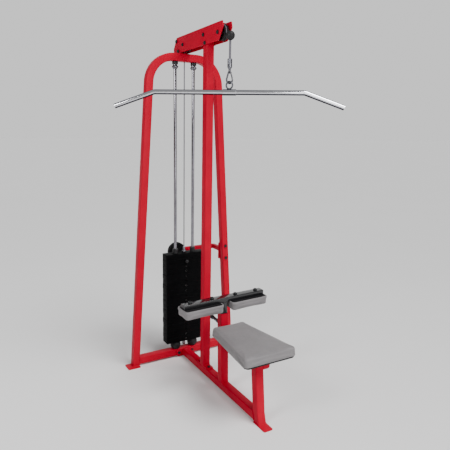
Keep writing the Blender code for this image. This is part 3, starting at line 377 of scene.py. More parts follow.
def rounded(points, radii, seg=6):
    out = []
    count = len(points)
    for i, (point, radius) in enumerate(zip(points, radii)):
        here = Vector(point)
        if radius <= 0:
            out.append(tuple(here))
            continue
        back = (Vector(points[i - 1]) - here).normalized()
        ahead = (Vector(points[(i + 1) % count]) - here).normalized()
        half = back.angle(ahead) / 2
        reach = radius / math.tan(half)
        centre = here + (back + ahead).normalized() * radius / math.sin(half)
        a, b = here + back * reach - centre, here + ahead * reach - centre
        angle = a.angle_signed(b)
        for k in range(seg + 1):
            out.append(tuple(centre + Matrix.Rotation(-angle * k / seg, 2) @ a))
    return out


def shrunk(points, by):
    """A closed outline moved inwards."""
    count = len(points)
    area = sum(points[i][0] * points[(i + 1) % count][1] - points[(i + 1) % count][0] * points[i][1] for i in range(count))
    side = 1 if area > 0 else -1
    out = []
    for i in range(count):
        before, here, after = Vector(points[i - 1]), Vector(points[i]), Vector(points[(i + 1) % count])
        d1, d2 = (here - before), (after - here)
        n = Vector((0, 0))
        for d in (d1, d2):
            if d.length > 1e-9:
                n += Vector((-d.y, d.x)).normalized() * side
        if n.length < 1e-9:
            out.append(tuple(here))
            continue
        n.normalize()
        d = d1.normalized() if d1.length > 1e-9 else d2.normalized()
        along = Vector((-d.y, d.x)) * side
        out.append(tuple(here + n * by / max(0.5, n.dot(along))))
    return out


def slab(outline, low, high, edge=0.001, seg=3):
    """An outline extruded from low to high, with rounded rims."""
    bottom = [[(x, y, low + edge * (1 - math.cos(a))) for x, y in shrunk(outline, edge * (1 - math.sin(a)))] for a in [PI / 2 * k / seg for k in range(seg + 1)]]
    top = [[(x, y, high - edge * (1 - math.cos(a))) for x, y in shrunk(outline, edge * (1 - math.sin(a)))] for a in [PI / 2 * k / seg for k in range(seg, -1, -1)]]
    return loft(bottom + top)


def frames(path, normal, cyclic=False):
    """For a path in a plane with that normal: the mitred sideways vector at each point."""
    normal = Vector(normal).normalized()
    out = []
    count = len(path)
    for i in range(count):
        here = Vector(path[i])
        before = Vector(path[i - 1]) if i or cyclic else None
        after = Vector(path[(i + 1) % count]) if i < count - 1 or cyclic else None
        t1 = (here - before).normalized() if before is not None else (after - here).normalized()
        t2 = (after - here).normalized() if after is not None else t1
        t = (t1 + t2).normalized()
        out.append(normal.cross(t) / max(0.2, t.dot(t1)))
    return out


def rect_tube(path, normal, w, h, r=CORNER, wall=WALL, seg=5, trim=None):
    """A hollow rectangular tube: w across the plane of the path, h along its normal."""
    normal = Vector(normal).normalized()
    sides = frames(path, normal)
    outer = round_rect(w, h, r, seg)
    inner = round_rect(w - 2 * wall, h - 2 * wall, max(0.001, r - wall), seg)

    def rings(outline):
        made = []
        for p, s in zip(path, sides):
            made.append([Vector(p) + s * x + normal * y for x, y in outline])
        return made

    out, inn = rings(outer), rings(inner)
    if trim:
        for group in (out, inn):
            trim(group)
    count = len(outer)
    verts = [v for ring in out for v in ring] + [v for ring in inn for v in ring]
    base = len(out) * count
    faces = []
    for k in range(len(path) - 1):
        for i in range(count):
            j = (i + 1) % count
            a, b = k * count, (k + 1) * count
            faces.append((a + i, a + j, b + j, b + i))
            faces.append((base + a + j, base + a + i, base + b + i, base + b + j))
    last = (len(path) - 1) * count
    for i in range(count):
        j = (i + 1) % count
        faces.append((i, base + i, base + j, j))
        faces.append((last + j, base + last + j, base + last + i, last + i))
    return verts, faces


def wire(points, radius, sides=20, cyclic=False, dome=0.0):
    """A round wire along points; radius may be a list. dome rounds its two ends."""
    pts = [Vector(p) for p in points]
    count = len(pts)
    radii = list(radius) if hasattr(radius, "__len__") else [radius] * count
    tangents = []
    for i in range(count):
        a = pts[i - 1] if i or cyclic else pts[i]
        b = pts[(i + 1) % count] if i < count - 1 or cyclic else pts[i]
        tangents.append((b - a).normalized())
    ref = Vector((0, 0, 1)) if abs(tangents[0].z) < 0.9 else Vector((1, 0, 0))
    u = tangents[0].cross(ref).normalized()
    rings = []
    us = []
    for i in range(count):
        t = tangents[i]
        u = (u - t * u.dot(t)).normalized()
        us.append(u.copy())
    twist = 0.0
    if cyclic:
        t = tangents[0]
        v = (us[-1] - t * us[-1].dot(t)).normalized()
        twist = math.atan2(us[0].cross(v).dot(t), us[0].dot(v))
    for i in range(count):
        t, u = tangents[i], us[i]
        v = t.cross(u)
        shift = -twist * i / count
        rings.append([pts[i] + (u * math.cos(2 * PI * k / sides + shift) + v * math.sin(2 * PI * k / sides + shift)) * radii[i] for k in range(sides)])
    if dome and not cyclic:
        for end, sign in ((0, -1), (-1, 1)):
            ring, centre, t = rings[end], pts[end], tangents[end]
            extra = []
            for k in range(1, 4):
                a = PI / 2 * k / 3
                extra.append([centre + t * sign * dome * math.sin(a) * 0.999 + (p - centre) * max(0.02, math.cos(a)) for p in ring])
            if sign < 0:
                rings = extra[::-1] + rings
            else:
                rings = rings + extra
    return loft(rings, True, cyclic)


def smooth_path(points, per=8, cyclic=False):
    """A Catmull-Rom curve through points."""
    pts = [Vector(p) for p in points]
    count = len(pts)
    out = []
    for i in range(count if cyclic else count - 1):
        p0 = pts[i - 1] if (i or cyclic) else pts[i] * 2 - pts[i + 1]
        p1, p2 = pts[i], pts[(i + 1) % count]
        p3 = pts[(i + 2) % count] if (i + 2 < count or cyclic) else p2 * 2 - p1
        for k in range(per):
            t = k / per
            out.append(0.5 * ((2 * p1) + (p2 - p0) * t + (2 * p0 - 5 * p1 + 4 * p2 - p3) * t * t + (3 * p1 - p0 - 3 * p2 + p3) * t ** 3))
    if not cyclic:
        out.append(pts[-1])
    return out


def weld(name, centre, u, v, w, h, body="frame", r=CORNER, size=0.0030, step=0.0032, mat=RED):
    """A rippled fillet weld around a rectangular tube, in the plane of u and v."""
    u, v = Vector(u), Vector(v)
    outline = round_rect(w + size * 0.5, h + size * 0.5, r, 4)
    pts = [Vector(centre) + u * x + v * y for x, y in outline]
    out = []
    for i, p in enumerate(pts):
        q = pts[(i + 1) % len(pts)]
        d = (q - p).length
        if d < 1e-7:
            continue
        n = max(1, int(d / step * 2))
        out += [p.lerp(q, k / n) for k in range(n)]
    radii = [size * (1.08 if i % 2 else 0.90) * (1.0 + 0.06 * math.sin(i * 0.37)) for i in range(len(out))]
    return make(name, *wire(out, radii, 8, True), mat, body, 60)


def cube(lo, hi, bevel=0.001, seg=3):
    lo, hi = Vector(lo), Vector(hi)
    outline = round_rect(hi.x - lo.x, hi.y - lo.y, max(bevel, 0.0004), seg)
    shape = slab([(x + (lo.x + hi.x) / 2, y + (lo.y + hi.y) / 2) for x, y in outline], lo.z, hi.z, bevel, seg)
    return shape


def drill(obj, cutters):
    """Cuts shapes out of an object, and bakes the result."""
    for index, shape in enumerate(cutters):
        mesh = bpy.data.meshes.new("cut")
        mesh.from_pydata([tuple(v) for v in shape[0]], [], shape[1])
        bm = bmesh.new()
        bm.from_mesh(mesh)
        bmesh.ops.recalc_face_normals(bm, faces=bm.faces)
        bm.to_mesh(mesh)
        bm.free()
        cutter = bpy.data.objects.new("cut", mesh)
        bpy.context.scene.collection.objects.link(cutter)
        mod = obj.modifiers.new("cut", "BOOLEAN")
        mod.operation, mod.solver, mod.object = "DIFFERENCE", "EXACT", cutter
        bpy.context.view_layer.update()
        graph = bpy.context.evaluated_depsgraph_get()
        fresh = bpy.data.meshes.new_from_object(obj.evaluated_get(graph))
        obj.modifiers.clear()
        old = obj.data
        obj.data = fresh
        bpy.data.meshes.remove(old)
        bpy.data.objects.remove(cutter, do_unlink=True)
    smooth(obj.data, 34)
    return obj


def hexagon(axis, at, flats, low, high, chamfer=0.0012, steps=48, turn=0.0):
    """A hexagonal prism with its outer rim chamfered round, along an axis."""
    rings = []
    top_r = flats / 2 - 0.0003

    def ring(height, limit):
        out = []
        for k in range(steps):
            a = 2 * PI * k / steps
            local = (a + PI / 6) % (PI / 3) - PI / 6
            r = min(flats / 2 / math.cos(local), limit)
            out.append((r * math.cos(a + turn), r * math.sin(a + turn), height))
        return out

    up = 1 if high > low else -1
    rings = [ring(low, 1), ring(high - up * chamfer, 1), ring(high - up * chamfer * 0.45, top_r + chamfer * 0.9), ring(high, top_r)]
    return moved(loft(rings), Matrix.Translation(at) @ AXES[axis])


def bolt(name, axis, head_at, length, body, radius=0.005, flats=0.0182, washer=0.0112, nut=True, sign=1, mat=OXIDE, turn=0.2, socket=False):
    """Washer, head, shank and nut. head_at is the point under the washer, on the axis; the shank runs towards sign."""
    s = sign
    shapes = [
        lathe(softened([(0.0001, 0), (washer, 0), (washer, -0.0016 * s), (0.0001, -0.0016 * s)], 0.0004), axis, head_at, 40),
    ]
    if socket:
        profile = softened([(0.0001, -0.0014 * s), (washer * 0.94, -0.0014 * s), (washer * 0.80, -0.0050 * s), (washer * 0.45, -0.0070 * s), (0.0001, -0.0072 * s)], 0.0016, 4)
        shapes.append(lathe(profile, axis, head_at, 40))
    else:
        shapes.append(hexagon(axis, head_at, flats, -0.0014 * s, -0.0070 * s, turn=turn))
    tail = length + (0.0095 if nut else 0)
    shapes.append(lathe(softened([(0.0001, 0.001 * s), (radius * 0.98, 0.001 * s), (radius * 0.98, (tail - 0.0008) * s), (radius * 0.8, tail * s), (0.0001, tail * s)], 0.0003), axis, head_at, 24))
    if nut:
        shapes.append(lathe(softened([(0.0001, length * s), (washer, length * s), (washer, (length + 0.0016) * s), (0.0001, (length + 0.0016) * s)], 0.0004), axis, head_at, 40))
        shapes.append(hexagon(axis, head_at, flats, (length + 0.0014) * s, (length + 0.0072) * s, turn=turn + 0.35))
    obj = make(name + "_shown", *merge(*shapes), mat, body, 30)
    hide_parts(name)
    return obj


def shown(obj, slot, *nodes):
    if nodes:
        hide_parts(*nodes)
    return obj


# ------------------------------------------------------------- hoop frame
top_mid = HOOP_TOP_Z - HOOP_W / 2
bend_z = top_mid - HOOP_BEND
bend_x = HOOP_FOOT_X - HOOP_SPLAY * (bend_z + HOOP_BEND * math.sin(splay)) - HOOP_BEND * math.cos(splay)
path = [(leg_x(FOOT_Z - 0.003), HOOP_Y, FOOT_Z - 0.003)]
path += [(leg_x(z), HOOP_Y, z) for z in (0.5, 1.0, 1.5)]
path += [(bend_x + HOOP_BEND * math.cos(splay + (PI / 2 - splay) * k / 28), HOOP_Y, bend_z + HOOP_BEND * math.sin(splay + (PI / 2 - splay) * k / 28)) for k in range(29)]
path = path + [(-x, y, z) for x, y, z in reversed(path)]


def level_feet(rings):
    for ring in (rings[0], rings[-1]):
        for p in ring:
            drop = p.z - (FOOT_Z - 0.003)
            p.x += math.copysign(HOOP_SPLAY * drop, p.x)
            p.z -= drop


hoop = make("hoop_tube", *rect_tube(path, (0, 1, 0), HOOP_W, TUBE, trim=level_feet), RED, "frame", 40)
shown(hoop, "red_frame", "hoop_frame")
for side, label in ((-1, "left"), (1, "right")):
    inner, outer = sorted((side * 0.350, side * 0.437))
    outline = [(x + (inner + outer) / 2, y + HOOP_Y - 0.011) for x, y in round_rect(outer - inner, 0.078, 0.007, 6)]
    shown(make("hoop_foot_" + label, *slab(outline, 0.0, PLATE, 0.0009), RED, "frame"), "red_frame")
    weld("hoop_foot_weld_" + label, (side * leg_x(PLATE), HOOP_Y, PLATE + 0.0008), (1, 0, 0), (0, 1, 0), HOOP_W, TUBE, size=0.0026)

stub = rect_tube([(0, HOOP_Y + 0.035, HOOP_TOP_Z - 0.002), (0, HOOP_Y + 0.035, 2.160)], (0, 1, 0), 0.050, 0.058, 0.005, 0.004)
shown(make("hoop_stub", *stub, RED, "frame"), "red_frame")
weld("hoop_stub_weld", (0, HOOP_Y + 0.0155, HOOP_TOP_Z + 0.0005), (1, 0, 0), (0, 1, 0), 0.050, 0.0185, size=0.0022)

# --------------------------------------------------------- floor members
beam_x = leg_x(BEAM_Z1) - HOOP_W / 2 / math.cos(splay) - GAP


def slant_ends(rings):
    for ring in (rings[0], rings[-1]):
        for p in ring:
            p.x += math.copysign(HOOP_SPLAY * (BEAM_Z1 - p.z), p.x)


beam = rect_tube([(-beam_x, HOOP_Y, 0.037), (beam_x, HOOP_Y, 0.037)], (0, 1, 0), TUBE, TUBE, trim=slant_ends)
shown(make("cross_beam", *beam, RED, "frame"), "red_frame", "rear_cross_beam")
for side, label in ((-1, "left"), (1, "right")):
    weld(
        "cross_beam_weld_" + label, (side * (leg_x(0.037) - HOOP_W / 2 / math.cos(splay) - 0.0006), HOOP_Y, 0.037),
        Vector((-side * HOOP_SPLAY, 0, 1)).normalized(), (0, 1, 0), TUBE, TUBE, size=0.0026,
    )

LEG_TOP = (POST_Y - 0.5820, RAIL_Z0 - PLATE + 0.002)
LEG_KNEE = (POST_Y - 0.6130, 0.068)
LEG_FOOT = (POST_Y - 0.6300, 0.003)


def leg_y(z):
    a, b = (LEG_TOP, LEG_KNEE) if z >= LEG_KNEE[1] else (LEG_KNEE, LEG_FOOT)
    t = (z - b[1]) / (a[1] - b[1])
    return b[0] + (a[0] - b[0]) * t


leg_rings_path = [(0, leg_y(z), z) for z in (LEG_FOOT[1], 0.030, 0.055, 0.068, 0.081, 0.12, 0.2, 0.3, LEG_TOP[1])]
leg_path = []
for x, y, z in leg_rings_path:
    if abs(z - 0.068) < 1e-6:
        y = y + 0.0007
    leg_path.append((x, y, z))
outer_o, inner_o = round_rect(TUBE, TUBE, CORNER, 5), round_rect(TUBE - 2 * WALL, TUBE - 2 * WALL, CORNER - WALL, 5)
leg_verts, leg_faces = [], []
rings_o = [[Vector((px, y + py, z)) for px, py in outer_o] for x, y, z in leg_path]
rings_i = [[Vector((px, y + py, z)) for px, py in inner_o] for x, y, z in leg_path]
n = len(outer_o)
leg_verts = [v for r in rings_o for v in r] + [v for r in rings_i for v in r]
base = len(rings_o) * n
for k in range(len(leg_path) - 1):
    for i in range(n):
        j = (i + 1) % n
        a, b = k * n, (k + 1) * n
        leg_faces.append((a + i, a + j, b + j, b + i))
        leg_faces.append((base + a + j, base + a + i, base + b + i, base + b + j))
last = (len(leg_path) - 1) * n
for i in range(n):
    j = (i + 1) % n
    leg_faces.append((i, base + i, base + j, j))
    leg_faces.append((last + j, base + last + j, base + last + i, last + i))
shown(make("front_leg_tube", leg_verts, leg_faces, RED, "frame"), "red_frame", "front_leg")
outline = [(x, y + POST_Y - 0.65515) for x, y in round_rect(0.058, 0.1103, 0.008, 6)]
shown(make("front_foot", *slab(outline, 0.0, PLATE, 0.0009), RED, "frame"), "red_frame")
weld("front_foot_weld", (0, leg_y(PLATE), PLATE + 0.0008), (1, 0, 0), (0, 1, 0), TUBE, TUBE, size=0.0026)
outline = [(x + 0.00975, y + POST_Y - 0.594) for x, y in round_rect(0.1115, 0.092, 0.006, 6)]
shown(make("front_cap", *slab(outline, RAIL_Z0 - PLATE, RAIL_Z0, 0.0009), RED, "frame"), "red_frame")
weld("front_cap_weld", (0, leg_y(RAIL_Z0 - PLATE), RAIL_Z0 - PLATE - 0.0008), (1, 0, 0), (0, 1, 0), TUBE, TUBE, size=0.0026)
lug = rounded([(0.021, 0.3080), (0.0655, 0.3080), (0.0655, RAIL_Z0 - 0.003), (0.021, RAIL_Z0 - 0.003)], [0.001, 0.014, 0.001, 0.001], 8)
lug_m = Matrix.Translation((0, POST_Y - 0.6060, 0)) @ Matrix.Rotation(PI / 2, 4, "X")
shown(make("front_lug", *moved(slab(lug, 0.0, PLATE, 0.0009), lug_m), RED, "frame"), "red_frame")

# Floor beam and its bolted flange.
beam_rear = HOOP_Y - 0.025 - GAP - PLATE


def slant_front(rings):
    for p in rings[0]:
        p.y = leg_y(p.z) + TUBE / 2 + 0.0004


floor_path = [(0, leg_y(0.04) + 0.025, 0.037), (0, -0.2, 0.037), (0, 0.1, 0.037), (0, beam_rear + 0.002, 0.037)]
shown(make("floor_beam_tube", *rect_tube(floor_path, (1, 0, 0), TUBE, TUBE, trim=slant_front), RED, "frame"), "red_frame", "floor_beam")
flange = rounded([(-0.072, 0.008), (0.072, 0.008), (0.072, 0.061), (-0.072, 0.061)], [0.020, 0.020, 0.014, 0.014], 8)
flange_m = Matrix.Translation((0, beam_rear + PLATE, 0)) @ Matrix.Rotation(PI / 2, 4, "X")
shown(make("floor_beam_flange", *moved(slab(flange, 0.0, PLATE, 0.0009), flange_m), RED, "frame"), "red_frame")
weld("flange_weld", (0, beam_rear - 0.0008, 0.037), (1, 0, 0), (0, 0, 1), TUBE, TUBE, size=0.0028)
slope = (leg_y(0.060) - leg_y(0.014)) / 0.046
weld("leg_beam_weld", (0, leg_y(0.037) + TUBE / 2 + 0.0006, 0.037), (1, 0, 0), Vector((0, slope, 1)).normalized(), TUBE, TUBE * 1.03, size=0.0028)

# ------------------------------------------------------------- main post
post_path = [(0, POST_Y, z) for z in (BEAM_Z1 + GAP + PLATE - 0.003, 0.7, 1.4, POST_TOP)]
shown(make("post_tube", *rect_tube(post_path, (0, 1, 0), TUBE, TUBE), RED, "frame"), "red_frame", "main_post")
outline = [(x, y + POST_Y) for x, y in round_rect(0.049, 0.148, 0.012, 8)]
shown(make("post_base", *slab(outline, BEAM_Z1 + GAP, BEAM_Z1 + GAP + PLATE, 0.0009), RED, "frame"), "red_frame")
weld("post_weld", (0, POST_Y, BEAM_Z1 + PLATE + 0.0012), (1, 0, 0), (0, 1, 0), 0.0455, TUBE, size=0.0026)

thigh_path = [(0, THIGH_Y, BEAM_Z1 + GAP), (0, THIGH_Y, 0.3), (0, THIGH_Y, THIGH_TOP)]
thigh_shape = rect_tube(thigh_path, (0, 1, 0), TUBE, TUBE)
thigh_shape = ([Vector((v.x - math.tan(LEAN) * (v.z - BEAM_Z1 - GAP), v.y, v.z)) for v in thigh_shape[0]], thigh_shape[1])
shown(make("thigh_post_tube", *thigh_shape, RED, "frame"), "red_frame", "thigh_post")
weld("thigh_post_weld", (0, THIGH_Y, BEAM_Z1 + 0.0010), (1, 0, 0), (0, 1, 0), 0.0455, TUBE, size=0.0026)
rail_path = [(0, POST_Y - 0.640, (RAIL_Z0 + RAIL_Z1) / 2), (0, THIGH_Y - 0.025 - GAP, (RAIL_Z0 + RAIL_Z1) / 2)]
shown(make("seat_rail_tube", *rect_tube(rail_path, (1, 0, 0), RAIL_Z1 - RAIL_Z0 - GAP, TUBE, 0.004), RED, "frame"), "red_frame", "seat_rail")
weld("seat_rail_weld", (0, THIGH_Y - 0.0258, (RAIL_Z0 + RAIL_Z1) / 2), (1, 0, 0), (0, 0, 1), 0.046, 0.0385, size=0.0022)

# ------------------------------------------------------------------ boom
cheek = rounded(
    [
        (POST_Y - 0.2030, 2.1740), (POST_Y - 0.2110, 2.1420), (POST_Y - 0.1630, 2.0760),
        (POST_Y + 0.4060, 2.0760), (POST_Y + 0.4110, 2.1100), (POST_Y + 0.3660, 2.1740),
    ],
    [0.006, 0.006, 0.006, 0.010, 0.008, 0.010], 6,
)
first = True
for side, label in ((-1, "left"), (1, "right")):
    low = BOOM_IN if side > 0 else -BOOM_IN - BOOM_T
    m = Matrix(((0, 0, 1, 0), (1, 0, 0, 0), (0, 1, 0, 0), (0, 0, 0, 1)))
    obj = make("boom_cheek_" + label, *moved(slab(cheek, low, low + BOOM_T, 0.0008), m), RED, "frame")
    shown(obj, "red_frame", *(["boom_channel"] if first else []))
    first = False
outline = [(x, y + POST_Y + 0.098) for x, y in round_rect(2 * BOOM_IN + 0.001, 0.496, 0.001, 3)]
shown(make("boom_web", *slab(outline, 2.1705, 2.1737, 0.0006), RED, "frame"), "red_frame")

# --------------------------------------------------------------- pulleys
def sheave(name, node, body, at, axis, radius, pitch, half, slot="nylon"):
    groove = [(radius, half - 0.0022), (pitch + 0.0008, 0.0049)] + [
        (pitch - 0.0046 * math.cos(a), 0.0046 * math.sin(a)) for a in [PI / 2 * 0.9 * (1 - k / 5) for k in range(11)]
    ] + [(pitch + 0.0008, -0.0049), (radius, -half + 0.0022)]
    profile = [
        (0.0056, half), (0.0125, half), (0.0135, half - 0.001), (0.0140, 0.0048), (0.0300, 0.0040), (0.0310, half - 0.0012),
        (0.0325, half - 0.0004), (radius - 0.0012, half - 0.0004), *groove, (radius - 0.0012, -half + 0.0004), (0.0325, -half + 0.0004),
        (0.0310, -half + 0.0012), (0.0300, -0.0040), (0.0140, -0.0048), (0.0135, -half + 0.001), (0.0125, -half), (0.0056, -half),
    ]
    obj = make(name, *lathe(profile, axis, at, 72), NYLON, body, 36)
    shown(obj, slot, node)
    ring = lathe(softened([(0.0057, half + 0.0006), (0.0095, half + 0.0006), (0.0095, half - 0.004), (0.0057, half - 0.004)], 0.0004), axis, at, 40)
    ring2 = lathe(softened([(0.0057, -half - 0.0006), (0.0095, -half - 0.0006), (0.0095, -half + 0.004), (0.0057, -half + 0.004)], 0.0004), axis, at, 40)
    shown(make(name + "_bearing", *merge(ring, ring2), ZINC, body), "zinc")
    # Stiffening ribs on both faces of the web, so that a turn of the wheel shows.
    ribs = []
    for k in range(6):
        a = 2 * PI * k / 6
        for s in (-1, 1):
            outline = round_rect(0.0185, 0.0030, 0.0012, 2)
            m = Matrix.Translation(at) @ AXES[axis] @ Matrix.Rotation(a, 4, "Z") @ Matrix.Translation((0.0222, 0, 0))
            lo, hi = sorted((s * 0.0035, s * (half - 0.0030)))
            ribs.append(moved(slab(outline, lo, hi, 0.0006, 2), m))
    shown(make(name + "_ribs", *merge(*ribs), NYLON, body), slot)
    return obj


sheave("front_sheave_wheel", "front_pulley", "front_sheave", (0, FRONT_AXLE_Y, AXLE_Z), "x", PULLEY_R, PITCH_R, 0.0125)
sheave("rear_sheave_wheel", "rear_pulley", "rear_sheave", (0, REAR_AXLE_Y, AXLE_Z), "x", PULLEY_R, PITCH_R, 0.0125)
span = 2 * (BOOM_IN + BOOM_T)
for name, y, z, turn in (
    ("front_pulley_axle", FRONT_AXLE_Y, AXLE_Z, 0.1), ("rear_pulley_axle", REAR_AXLE_Y, AXLE_Z, 0.5),
    ("boom_bolt_post_upper", POST_Y + 0.0074, 2.1336, 0.3), ("boom_bolt_post_lower", POST_Y - 0.0117, 2.0860, 0.7),
    ("boom_bolt_rear_upper", POST_Y + 0.3655, 2.1510, 0.9), ("boom_bolt_rear_lower", POST_Y + 0.3420, 2.0880, 0.0),
):
    bolt(name, "x", (-span / 2, y, z), span, "frame", turn=turn)

for side, label in ((-1, "left"), (1, "right")):
    bolt("beam_bolt_" + label, "y", (side * 0.0515, HOOP_Y - 0.025 - 2 * GAP - PLATE, 0.034), 0.0566 + GAP, "frame", turn=0.3 + side)
for side, label in ((-1, "front"), (1, "rear")):
    bolt(
        "post_bolt_" + label, "z", (0, POST_Y + side * 0.0535, BEAM_Z1 + 2 * GAP + PLATE), 0.016, "frame", nut=False, sign=-1,
        turn=0.2 + side,
    )

# ------------------------------------------------ idler arm behind the stack
ARM_X, ARM_T, ARM_Z0 = 0.321, 0.030, 0.7255
ARM_BACK = POST_Y + 0.4845
leg_back = HOOP_Y + 0.025 + GAP
mid_z = ARM_Z0 + ARM_T / 2
arm_y = ARM_BACK - ARM_T / 2
corner_r = 0.020
arm_path = [(-0.024, arm_y, mid_z), (0.15, arm_y, mid_z)]
arm_path += [(ARM_X - corner_r + corner_r * math.sin(a), arm_y - corner_r + corner_r * math.cos(a), mid_z) for a in [PI / 2 * k / 10 for k in range(11)]]
arm_path += [(ARM_X, leg_back + 0.004, mid_z)]
arm = make("arm_tube", *rect_tube(arm_path, (0, 0, 1), ARM_T, ARM_T, 0.0035, 0.0025), RED, "frame")
shown(arm, "red_frame", "idler_arm")
outline = rounded([(ARM_X - 0.027, 0.672), (ARM_X + 0.027, 0.672), (ARM_X + 0.027, 0.792), (ARM_X - 0.027, 0.792)], [0.007] * 4, 6)
m = Matrix.Translation((0, leg_back + PLATE, 0)) @ Matrix.Rotation(PI / 2, 4, "X")
shown(make("arm_flange", *moved(slab(outline, 0, PLATE, 0.0009), m), RED, "frame"), "red_frame")
weld("arm_weld", (ARM_X, leg_back + PLATE + 0.0006, mid_z), (1, 0, 0), (0, 0, 1), ARM_T, ARM_T, r=0.0035, size=0.0024)
for label, z, turn in (("upper", 0.7756, 0.2), ("lower", 0.6873, 0.6)):
    bolt("arm_bolt_" + label, "y", (leg_x(z), HOOP_Y - 0.025, z), 0.0563 + GAP, "frame", turn=turn)
IDLER_Y = ARM_BACK - ARM_T - 0.0175
idler = [
    (0.0056, 0.0138), (0.0155, 0.0138), (0.0170, 0.0120), (0.0180, 0.0100), (0.0500, 0.0092), (0.0515, 0.0100), (0.0530, 0.0128), (0.0640, 0.0128), (0.0657, 0.0112),
    (0.0612, 0.0045), (0.0600, 0.0018), (0.0600, -0.0018), (0.0612, -0.0045), (0.0657, -0.0112), (0.0640, -0.0128), (0.0530, -0.0128),
    (0.0515, -0.0100), (0.0500, -0.0092), (0.0180, -0.0100), (0.0170, -0.0120), (0.0155, -0.0138), (0.0056, -0.0138),
]
idler_obj = make("idler_wheel", *lathe(idler, "y", (0, IDLER_Y, mid_z), 80), NYLON, "idler_sheave", 36)
shown(idler_obj, "nylon", "idler_pulley")
ribs = []
for k in range(8):
    for s in (-1, 1):
        m = Matrix.Translation((0, IDLER_Y, mid_z)) @ AXES["y"] @ Matrix.Rotation(2 * PI * k / 8, 4, "Z") @ Matrix.Translation((0.0340, 0, 0))
        lo, hi = sorted((s * 0.0085, s * 0.0118))
        ribs.append(moved(slab(round_rect(0.0345, 0.0032, 0.0013, 2), lo, hi, 0.0007, 2), m))
shown(make("idler_ribs", *merge(*ribs), NYLON, "idler_sheave"), "nylon")
bolt("idler_axle", "y", (0, IDLER_Y - 0.0142, mid_z), ARM_BACK - IDLER_Y + 0.0142, "frame", turn=0.4)

# ------------------------------------------------------------ guide rods
for side, label in ((-1, "left"), (1, "right")):
    x = side * ROD_X
    profile = softened([(0.0001, BEAM_Z1 + 0.0003), (ROD_R, BEAM_Z1 + 0.0003), (ROD_R, 2.0219), (0.0001, 2.0219)], 0.0008)
    shown(make("rod_" + label, *lathe(profile, "z", (x, HOOP_Y, 0), 48), ROD, "frame"), "chrome", "guide_rod_" + label)
    bush = softened([(0.0104, 2.0212), (0.0194, 2.0212), (0.0194, 2.0042), (0.0104, 2.0042)], 0.0012)
    collar = softened(
        [(0.0104, 2.0040), (0.0142, 2.0040), (0.0142, 1.9970), (0.0213, 1.9905), (0.0209, 1.9868), (0.0125, 1.9765), (0.0104, 1.9765)], 0.0009,
    )
    shown(make("rod_bush_" + label, *lathe(bush, "z", (x, HOOP_Y, 0), 56), NYLON, "frame"), "nylon", "rod_cap_" + label)
    shown(make("rod_collar_" + label, *lathe(collar, "z", (x, HOOP_Y, 0), 56), ZINC, "frame"), "zinc")
    bumper = [(0.0106, 0.0899 + 0.0272)]
    bumper += [(0.0364 * math.cos(a), 0.0899 + 0.0364 * math.sin(a)) for a in [0.845 * (1 - k / 14) for k in range(29)]]
    bumper += [(0.0106, 0.0899 - 0.0272)]
    shown(make("bumper_ring_" + label, *lathe(bumper, "z", (x, HOOP_Y, 0), 64), RUBBER, "frame", 50), "rubber", "bumper_" + label)

# ---------------------------------------------------------- weight stack
top_rest = STACK_Z0 + PLATES_REST * PLATE_PITCH
plate1_top = top_rest + PLATE_PITCH
head_top = plate1_top + PLATE_PITCH
plate_outline = [(x, y + HOOP_Y) for x, y in round_rect(STACK_W, STACK_D, 0.0052, 4)]


def plate_piece(name, z0, z1, body, nodes=(), shift=(0.0, 0.0)):
    outline = [(x + shift[0], y + shift[1]) for x, y in plate_outline]
    obj = make(name, *slab(outline, z0, z1, 0.0028, 4), IRON, body)
    cuts = [lathe([(0.0001, z0 - 0.01), (r, z0 - 0.01), (r, z1 + 0.01), (0.0001, z1 + 0.01)], "z", (x, HOOP_Y, 0), 32) for x, r in ((-ROD_X, 0.0115), (ROD_X, 0.0115), (0, 0.0125))]
    mid = (z0 + z1) / 2
    cuts.append(lathe([(0.0001, -0.010), (0.0052, -0.010), (0.0052, 0.060), (0.0001, 0.060)], "y", (0, HOOP_Y - STACK_D / 2, mid), 24))
    drill(obj, cuts)
    shown(obj, "black_iron", *nodes)
    return obj


first = True
for k in range(PLATES_REST):
    z0 = STACK_Z0 + k * PLATE_PITCH
    sway = (0.0009 * math.sin(2.7 * k + 0.6), 0.0007 * math.sin(1.9 * k))
    plate_piece("lower_plate_%02d" % (k + 2), z0 + 0.0001, z0 + PLATE_PITCH - 0.0003, "frame", ["weight_plates"] if first else [], sway)
    first = False
plate_piece("top_plate_01", top_rest + GAP, plate1_top, "stack", ["weight_plate_01"])
head_obj = make("head_plate_block", *slab(plate_outline, plate1_top + 2 * GAP, head_top + 2 * GAP - 0.0002, 0.0025, 3), IRON, "stack")
drill(head_obj, [lathe([(0.0001, 0.6), (r, 0.6), (r, 0.9), (0.0001, 0.9)], "z", (x, HOOP_Y, 0), 32) for x, r in ((-ROD_X, 0.0115), (ROD_X, 0.0115), (0, 0.0125))])
shown(head_obj, "black_iron", "head_plate")

# Machined rims of the pin holes.
for k in range(PLATES_REST + 1):
    mid = STACK_Z0 + (k + 0.5) * PLATE_PITCH + (GAP if k == PLATES_REST else 0)
    rim = softened([(0.0053, 0.0010), (0.0053, -0.0003), (0.0060, -0.0003), (0.0063, 0.0010)], 0.0001, 2)
    body = "stack" if k == PLATES_REST else "frame"
    shown(make("pin_hole_rim_%02d" % (k + 1), *lathe(rim, "y", (0, HOOP_Y - STACK_D / 2, mid), 32), BARE, body), "black_iron")

